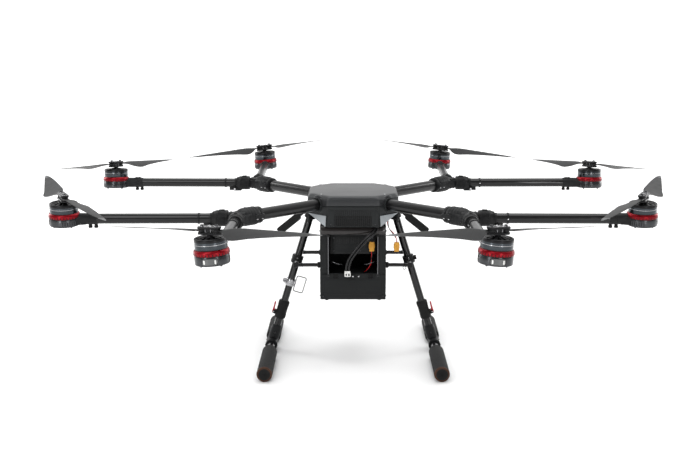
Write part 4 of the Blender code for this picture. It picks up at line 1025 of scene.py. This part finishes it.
def leg_mesh(side):
    at = leg_frame(side)
    shape = Shape()
    top = up_leg(0.4)
    shape.turn([(0.01, 0.012), (0.01, top - 0.004)], LEG, at, 48)
    shape.turn([(0.0104, top - 0.03), (0.0142, top - 0.0296), (0.015, top - 0.0288), (0.015, top - 0.024),
                (0.0143, top - 0.0234), (0.0143, top - 0.0214), (0.015, top - 0.0208), (0.015, top - 0.008),
                (0.012, top - 0.006)], CAST, at, 36)
    shape.screw(at @ shift(0, -0.015, top - 0.0262) @ FACING_FRONT, 0.002)
    middle = up_leg(LATCH_Z)
    shape.turn([(0.012, middle - 0.0262), (0.0135, middle - 0.025), (0.015, middle - 0.0225),
                (0.015, middle - 0.012), (0.0143, middle - 0.0112), (0.0143, middle + 0.0112),
                (0.015, middle + 0.012), (0.015, middle + 0.0222), (0.013, middle + 0.025),
                (0.0104, middle + 0.0254)], RUBBER, at, 40)
    shape.ribbed([(0.0146, middle - 0.0215, 0.0), (0.015, middle - 0.0205, 0.0007),
                  (0.015, middle - 0.0135, 0.0007), (0.0146, middle - 0.0125, 0.0)], 24, RUBBER, at)
    shape.turn([(0.0116, 0.012), (0.014, 0.015), (0.0146, 0.02), (0.0146, 0.043), (0.0136, 0.045),
                (0.013, 0.052), (0.0112, 0.0535), (0.0104, 0.054)], CAST, at, 40)
    outwards = at if side > 0 else at @ turn_z(180)
    pin = outwards @ shift(LEVER_PIN_OUT, 0, middle - LEVER_PIN_DROP)
    for y in (-0.009, 0.0065):
        shape.block((-0.009, y, -0.005), (0.0025, y + 0.0025, 0.005), RUBBER, pin, 0.001)
    shape.turn([(0.001, -0.0096), (0.0015, -0.0092), (0.0015, 0.0092), (0.001, 0.0096)], SCREW_LIGHT,
               pin @ ALONG_Y, 16)
    skid = shift(side * SKID_X, 0, SKID_Z) @ ALONG_Y
    half = 0.028
    shape.hoop([(0.0114, -half), (0.0152, -half), (0.0165, -half + 0.0014), (0.0165, -half + 0.007),
                (0.0158, -half + 0.0076), (0.0158, half - 0.0076), (0.0165, half - 0.007),
                (0.0165, half - 0.0014), (0.0152, half), (0.0114, half)], CAST, skid)
    for y in (-0.0245, 0.0245):
        shape.screw(shift(side * (SKID_X + 0.016), y, SKID_Z) @ turn_y(side * 90), 0.0021)
    shape.screw(at @ shift(0, -0.0143, 0.033) @ FACING_FRONT, 0.0022)
    if side < 0:
        band = up_leg(BAIL_Z)
        shape.turn([(0.0104, band - 0.01), (0.0123, band - 0.0098), (0.0125, band - 0.0092),
                    (0.0125, band - 0.003), (0.0119, band - 0.0024), (0.0119, band + 0.0024),
                    (0.0125, band + 0.003), (0.0125, band + 0.0092), (0.0123, band + 0.0098),
                    (0.0104, band + 0.01)], SILVER, at, 40)
        shape.block((-0.019, -0.0035, band - 0.006), (-0.011, 0.0035, band + 0.006), SILVER, at, 0.0008)
        shape.screw(at @ shift(-0.015, -0.0035, band) @ FACING_FRONT, 0.0024)
        shape.turn([(0.002, 0.0186), (0.0034, 0.019), (0.0036, 0.0194), (0.0036, 0.0208), (0.003, 0.0212)],
                   RUBBER, at @ shift(0, 0, band) @ turn_z(180) @ ALONG_X, 24)
    return shape.mesh("leg")


def grip(shape, start, end, at):
    """A foam grip with rounded ends, along +Z."""
    profile = [(0.0112, start + 0.0002), (0.015, start), (0.0182, start + 0.0006), (0.0195, start + 0.002),
               (0.02, start + 0.0045), (0.02, (start + end) / 2), (0.02, end - 0.0045),
               (0.0195, end - 0.002), (0.0182, end - 0.0006), (0.015, end), (0.0112, end - 0.0002)]
    shape.turn(profile, FOAM, at, 64)


def skid_mesh():
    """One skid: tube, grips and end caps along Y, origin on its axis."""
    shape = Shape()
    shape.turn([(0.011, -0.268), (0.011, 0.246)], LEG, ALONG_Y, 48)
    grip(shape, -0.2745, -0.084, ALONG_Y)
    grip(shape, 0.057, 0.21, ALONG_Y)
    for edge in (-0.0832, 0.0562):
        shape.turn([(0.0112, edge - 0.002), (0.0124, edge - 0.0014), (0.0124, edge + 0.0014),
                    (0.0112, edge + 0.002)], CAST, ALONG_Y, 40)
    shape.turn([(0.0148, -0.275), (0.0152, -0.2744), (0.0152, -0.27)], RUBBER, ALONG_Y, 40)
    for arm in range(6):
        shape.block((0.003, -0.0013, -0.275), (0.0128, 0.0013, -0.2742), CAST,
                    ALONG_Y @ turn_z(60 * arm), 0.0003)
    shape.turn([(0.0036, -0.275), (0.0036, -0.2738)], CAST, ALONG_Y, 20)
    shape.turn([(0.018, -0.2746), (0.0193, -0.2738), (0.0198, -0.2722), (0.0201, -0.2706), (0.0198, -0.27)],
               WRAP_BROWN, ALONG_Y, 64)
    shape.turn([(0.0112, 0.243), (0.0122, 0.244), (0.0122, 0.2486), (0.0108, 0.25), (0.006, 0.25)],
               RUBBER, ALONG_Y, 40)
    return shape.mesh("skid")


def cradle_mesh(side):
    """Rods between a leg and the battery box."""
    at = leg_frame(side)
    up = up_leg(CRADLE_Z)
    leg_x = (at @ Vector((0, 0, up))).x
    shape = Shape()
    for y in ROD_YS:
        outwards = shift(0, y, CRADLE_Z) @ turn_z(0 if side > 0 else 180) @ ALONG_X
        shape.sweep([(side * 0.0874, y, CRADLE_Z), (leg_x, y, CRADLE_Z)], 0.005, LEG, 28)
        shape.turn([(0.005, 0.0875), (0.0078, 0.0877), (0.008, 0.0885), (0.008, 0.093), (0.0062, 0.095),
                    (0.005, 0.0955)], CAST, outwards, 28)
        for step in range(3):
            out = abs(leg_x) - 0.012 - 0.003 * step
            shape.turn([(0.005, out), (0.0058, out + 0.0004), (0.0058, out + 0.0014), (0.005, out + 0.0018)],
                       CAST, outwards, 24)
    shape.sweep([(leg_x, -0.0755, CRADLE_Z), (leg_x, 0.0895, CRADLE_Z)], 0.005, LEG, 28)
    for y in ROD_YS:
        shape.block((leg_x - 0.007, y - 0.007, CRADLE_Z - 0.007),
                    (leg_x + 0.007, y + 0.007, CRADLE_Z + 0.007), CAST, None, 0.002)
        shape.screw(shift(leg_x, y, CRADLE_Z + 0.007), 0.0024, SCREW_LIGHT)
    shape.hoop([(0.0104, up - 0.011), (0.0146, up - 0.011), (0.0155, up - 0.01), (0.0155, up - 0.0012),
                (0.0148, up - 0.0006), (0.0148, up + 0.0006), (0.0155, up + 0.0012), (0.0155, up + 0.01),
                (0.0146, up + 0.011), (0.0104, up + 0.011)], CAST, at, 40)
    if side > 0:
        loop = [(leg_x - 0.015 + 0.0042 * math.cos(t), -0.07, CRADLE_Z - 0.0082 + 0.0042 * math.sin(t))
                for t in [math.tau * step / 20 for step in range(20)]]
        shape.sweep(loop, 0.0009, STEEL, 10, ring=True)
        shape.turn([(0.003, 0.015), (0.0058, 0.0156), (0.0062, 0.0166), (0.0062, 0.0206), (0.0052, 0.0216)],
                   RUBBER, at @ shift(0, 0, up) @ ALONG_X, 24)
    for z in (-0.0055, 0.0055):
        shape.screw(at @ shift(0, -0.0152, up + z) @ FACING_FRONT, 0.0021, SCREW_LIGHT)
    return shape.mesh("cradle")


def lever_mesh():
    """Cam lever: +Z up the leg, +X outwards, pin on Y."""
    rows = [(-0.0043, -0.0016, 0.0016), (-0.0036, -0.0031, 0.0031), (-0.0018, -0.0042, 0.0042),
            (0.0, -0.0044, 0.0044), (0.003, -0.004, 0.0044), (0.006, -0.001, 0.0043),
            (0.014, 0.0, 0.0041), (0.0215, 0.0003, 0.0043), (0.0255, 0.0008, 0.0044),
            (0.0268, 0.0016, 0.004)]
    loops = []
    for z, inner, outer in rows:
        wide = 0.006 - max(0.0, (z - 0.022) * 0.25)
        edge = min(0.001, (outer - inner) * 0.3)
        loops.append([(inner, -wide + edge, z), (inner, wide - edge, z), (inner + edge, wide, z),
                      (outer - edge, wide, z), (outer, wide - edge, z), (outer, -wide + edge, z),
                      (outer - edge, -wide, z), (inner + edge, -wide, z)])
    shape = Shape()
    shape.loft(loops, RED)
    for rib in range(3):
        z = 0.0205 + rib * 0.002
        shape.block((0.004, -0.0044, z), (0.0047, 0.0044, z + 0.0009), RED, None, 0.0002)
    return shape.mesh("lever")


def bail_mesh():
    """Rectangular wire bail: +Z up the leg, +X inwards."""
    half, depth, corner = 0.022, 0.026, 0.0045
    path = []
    for cx, cz, start in ((corner, half - corner, 90), (depth - corner, half - corner, 0),
                          (depth - corner, -half + corner, -90), (corner, -half + corner, -180)):
        for step in range(7):
            angle = math.radians(start + 90 - 90 * step / 6)
            path.append((cx + corner * math.cos(angle), 0, cz + corner * math.sin(angle)))
    shape = Shape()
    shape.sweep(path, 0.0013, STEEL, 14, ring=True)
    return shape.mesh("bail")


def build_landing_gear():
    skid = skid_mesh()
    lever = lever_mesh()
    for side, word in ((-1, "left"), (1, "right")):
        at = leg_frame(side)
        piece("landing_leg_" + word, leg_mesh(side), "airframe", None, ("leg_" + word,))
        piece("landing_skid_" + word, skid, "airframe", shift(side * SKID_X, 0, SKID_Z), ("skid_" + word,))
        piece("box_cradle_" + word, cradle_mesh(side), "airframe", None, ("cradle_" + word,))
        outwards = at if side > 0 else at @ turn_z(180)
        pin = outwards @ shift(LEVER_PIN_OUT, 0, up_leg(LATCH_Z) - LEVER_PIN_DROP)
        piece("cam_lever_" + word, lever, "latch_lever_" + word, pin, ("latch_lever_" + word,))
    pivot = leg_frame(-1) @ shift(0.0141, 0, up_leg(BAIL_Z))
    piece("leg_wire_bail", bail_mesh(), "wire_bail", pivot, ("wire_bail",))


# ---------------------------------------------------------------- battery box

def build_box():
    shape = Shape()
    x, y, wall = BOX_HALF_X, BOX_HALF_Y, 0.003
    for side in (-1, 1):
        shape.block((side * (x - wall), -y, BOX_LOW), (side * x, y, BOX_TOP - 0.0005), BOX, None, 0.0009)
        for rib in (-0.06, -0.035, 0.035, 0.06):
            shape.block((side * (x - 0.001), rib - 0.003, 0.18), (side * (x + 0.0014), rib + 0.003, 0.243),
                        BOX, None, 0.0008)
        shape.block((side * (x - 0.001), -0.07, 0.272), (side * (x + 0.001), 0.07, 0.33), BOX, None, 0.002)
        for vent in range(8):
            z = 0.281 + vent * 0.0055
            shape.block((side * (x - 0.001), -0.045, z), (side * (x + 0.0013), 0.045, z + 0.0022), DARK,
                        None, 0.0004)
        for sy in (-0.083, 0.083):
            for z in (0.176, 0.352):
                shape.screw(shift(side * x, sy, z) @ turn_y(side * 90), 0.0022)
        shape.block((side * 0.064, -y, 0.235), (side * (x - 0.001), -y + 0.006, 0.347), BOX, None, 0.0009)
        shape.block((side * 0.07, -y - 0.0012, 0.244), (side * 0.083, -y + 0.001, 0.338), BOX, None, 0.0008)
        shape.sweep([(side * 0.0655, -y - 0.0016, 0.23), (side * 0.0655, -y - 0.0016, 0.342)], 0.0016,
                    STEEL, 16)
        for z in (0.2335, 0.34):
            shape.block((side * 0.0615, -y - 0.004, z - 0.003), (side * 0.0695, -y + 0.001, z + 0.003),
                        MODULE, None, 0.0008)
        frame_hole(shape, side * 0.0465, 0.231, 0.0062)
        shape.screw(shift(side * 0.08, -y, 0.1755) @ FACING_FRONT, 0.0022)
        for foot_y in (-0.08, 0.08):
            shape.turn([(0.0036, BOX_LOW - 0.004), (0.0044, BOX_LOW - 0.0034), (0.0044, BOX_LOW + 0.001)],
                       RUBBER, shift(side * 0.07, foot_y), 20)
        shape.sweep([(side * 0.056, -y + 0.001, 0.27), (side * 0.05, -y - 0.003, 0.269),
                     (side * 0.043, -y - 0.004, 0.2665), (side * 0.036, -y - 0.003, 0.264),
                     (side * 0.03, -y + 0.002, 0.263)], 0.0012, STEEL, 10)
    shape.block((-x + 0.001, -y + 0.0005, BOX_LOW), (x - 0.001, y - 0.0005, BOX_LOW + wall), BOX,
                None, 0.0008)
    shape.block((-x + 0.001, y - wall, BOX_LOW), (x - 0.001, y, BOX_TOP - 0.001), BOX, None, 0.0009)
    shape.block((-0.06, y - 0.001, 0.19), (0.06, y + 0.0012, 0.3), BOX, None, 0.002)
    for vent in range(9):
        z = 0.306 + vent * 0.005
        shape.block((-0.055, y - 0.001, z), (0.055, y + 0.0006, z + 0.002), DARK, None, 0.0004)
    shape.block((-x + 0.001, -y, BOX_LOW), (x - 0.001, -y + wall, 0.238), BOX, None, 0.0009)
    shape.block((-0.079, -y - 0.0011, 0.183), (0.079, -y + 0.001, 0.223), BOX, None, 0.003)
    for mark in range(5):
        shape.block((-0.017 + 0.0075 * mark, -y - 0.001, 0.2285),
                    (-0.0135 + 0.0075 * mark, -y + 0.001, 0.2315),
                    DARK if mark % 2 else SCREW_LIGHT, None, 0.0004)
    for vent in range(9):
        shape.block((-0.018 + 0.004 * vent, -y - 0.0008, 0.2335), (-0.016 + 0.004 * vent, -y + 0.001, 0.2365),
                    DARK, None, 0.0003)
    shroud(shape)
    shape.block((-x + 0.002, -y + 0.004, BOX_TOP - 0.0035), (x - 0.01, y - 0.004, BOX_TOP - 0.0005),
                BOX, None, 0.0005)
    piece("payload_box", shape.mesh("payload_box"), "airframe", None, ("battery_box",))

    module = Shape()
    module.block((-0.061, -0.0715, 0.287), (0.061, 0.072, 0.34), MODULE, None, 0.0016)
    module.block((-0.056, -0.0722, 0.291), (0.056, -0.07, 0.336), BOX, None, 0.0015)
    for fin in range(11):
        x0 = -0.05 + fin * 0.0062
        module.block((x0, -0.0732, 0.316), (x0 + 0.0034, -0.071, 0.333), MODULE, None, 0.0005)
    for at in ((-0.051, 0.296), (0.02, 0.296), (-0.051, 0.331), (0.052, 0.331)):
        module.screw(shift(at[0], -0.0722, at[1]) @ FACING_FRONT, 0.0021)
    module.block((0.041, -0.0755, 0.301), (0.059, -0.071, 0.324), MODULE, None, 0.001)
    for side in (-1, 1):
        module.block((side * 0.039, -0.052, 0.337), (side * 0.051, 0.052, 0.364), MODULE, None, 0.001)
    piece("power_unit", module.mesh("power_unit"), "airframe", None, ("power_module",))

    pack = Shape()
    pack.block((-0.0788, -0.0795, 0.1706), (0.0788, 0.0795, 0.226), WRAP, None, 0.006)
    pack.block((-0.074, -0.074, 0.224), (0.074, 0.074, 0.228), MODULE, None, 0.0015)
    pack.block((-0.0794, -0.08, 0.186), (0.0794, 0.08, 0.195), RUBBER, None, 0.0008)
    pack.block((-0.0794, -0.08, 0.205), (0.0794, 0.08, 0.212), RUBBER, None, 0.0008)
    pack.block((0.018, -0.074, 0.227), (0.04, -0.06, 0.229), MODULE, None, 0.0006)
    piece("battery_block", pack.mesh("battery_block"), "airframe", None, ("battery_pack",))


def frame_hole(shape, x, z, half):
    """A square opening on the box's front, with its dark inside."""
    y = -BOX_HALF_Y
    edge = 0.0016
    shape.block((x - half, y - 0.0004, z - half), (x + half, y + 0.001, z + half), DARK, None, 0.0002)
    for low, high in (((x - half - edge, z - half - edge), (x + half + edge, z - half)),
                      ((x - half - edge, z + half), (x + half + edge, z + half + edge)),
                      ((x - half - edge, z - half), (x - half, z + half)),
                      ((x + half, z - half), (x + half + edge, z + half))):
        shape.block((low[0], y - 0.0018, low[1]), (high[0], y + 0.001, high[1]), BOX, None, 0.0004)


def shroud(shape):
    """The glossy curved cowl across the top of the box's front."""
    loops = []
    steps = 28
    half = BOX_HALF_X - 0.001
    for step in range(steps + 1):
        x = half * (2 * step / steps - 1)
        sag = 0.006 * (1 - (x / half) ** 2)
        bulge = 0.0035 * math.sqrt(max(0.0, 1 - (x / half) ** 4))
        y = -BOX_HALF_Y
        loops.append([(x, y + 0.004, 0.344), (x, y - 0.0004 - bulge * 0.4, 0.344),
                      (x, y - 0.001 - bulge, 0.348), (x, y - 0.001 - bulge * 1.1, 0.354),
                      (x, y - 0.0004 - bulge * 0.8, 0.361 - sag * 0.3), (x, y + 0.001, 0.3665 - sag * 0.2),
                      (x, y + 0.006, 0.3672)])
    shape.loft(loops, SHROUD)


def build_antennas():
    for side, word in ((-1, "left"), (1, "right")):
        shape = Shape()
        droop = Matrix.Rotation(math.radians(ANTENNA_DROOP_DEG), 4, "Y")
        loops = []
        for x, half, thick in ((0.016, 0.006, 0.003), (0.0185, 0.0088, 0.0036), (0.022, 0.0098, 0.004),
                               (0.026, 0.01, 0.004), (0.083, 0.01, 0.004), (0.0865, 0.0094, 0.0036),
                               (0.088, 0.0084, 0.0028)):
            edge = 0.0012
            loops.append([(x, -thick, -half + edge), (x, -thick + edge, -half), (x, thick - edge, -half),
                          (x, thick, -half + edge), (x, thick, half - edge), (x, thick - edge, half),
                          (x, -thick + edge, half), (x, -thick, half - edge)])
        shape.loft(loops, PADDLE, droop)
        for line in range(14):
            x = 0.0245 + line * 0.0042
            for face in (-1, 1):
                shape.block((x, face * 0.0038, -0.0082), (x + 0.0022, face * 0.0043, 0.0082), PADDLE,
                            droop, 0.0002)
        shape.block((0.0, -0.003, -0.0042), (0.019, 0.003, 0.0042), CAST, droop, 0.001)
        for rib in range(4):
            x = 0.0078 + rib * 0.0024
            shape.block((x, -0.0034, -0.0047), (x + 0.0012, 0.0034, 0.0047), CAST, droop, 0.0003)
        shape.turn([(0.005, -0.006), (0.006, -0.0054), (0.006, 0.0054), (0.005, 0.006)], CAST, ALONG_Y, 28)
        shape.screw(shift(0, -0.006, 0) @ FACING_FRONT, 0.0026, SCREW_LIGHT)
        x, y, z = ANTENNA_PIVOT
        at = shift(side * x, y, z) @ turn_z(0 if side > 0 else 180)
        piece("paddle_antenna_" + word, shape.mesh("paddle_antenna"), "antenna_" + word, at,
              ("antenna_" + word,))


build_stage()
build_leads()
build_hub()
build_arms()
build_landing_gear()
build_box()
build_antennas()
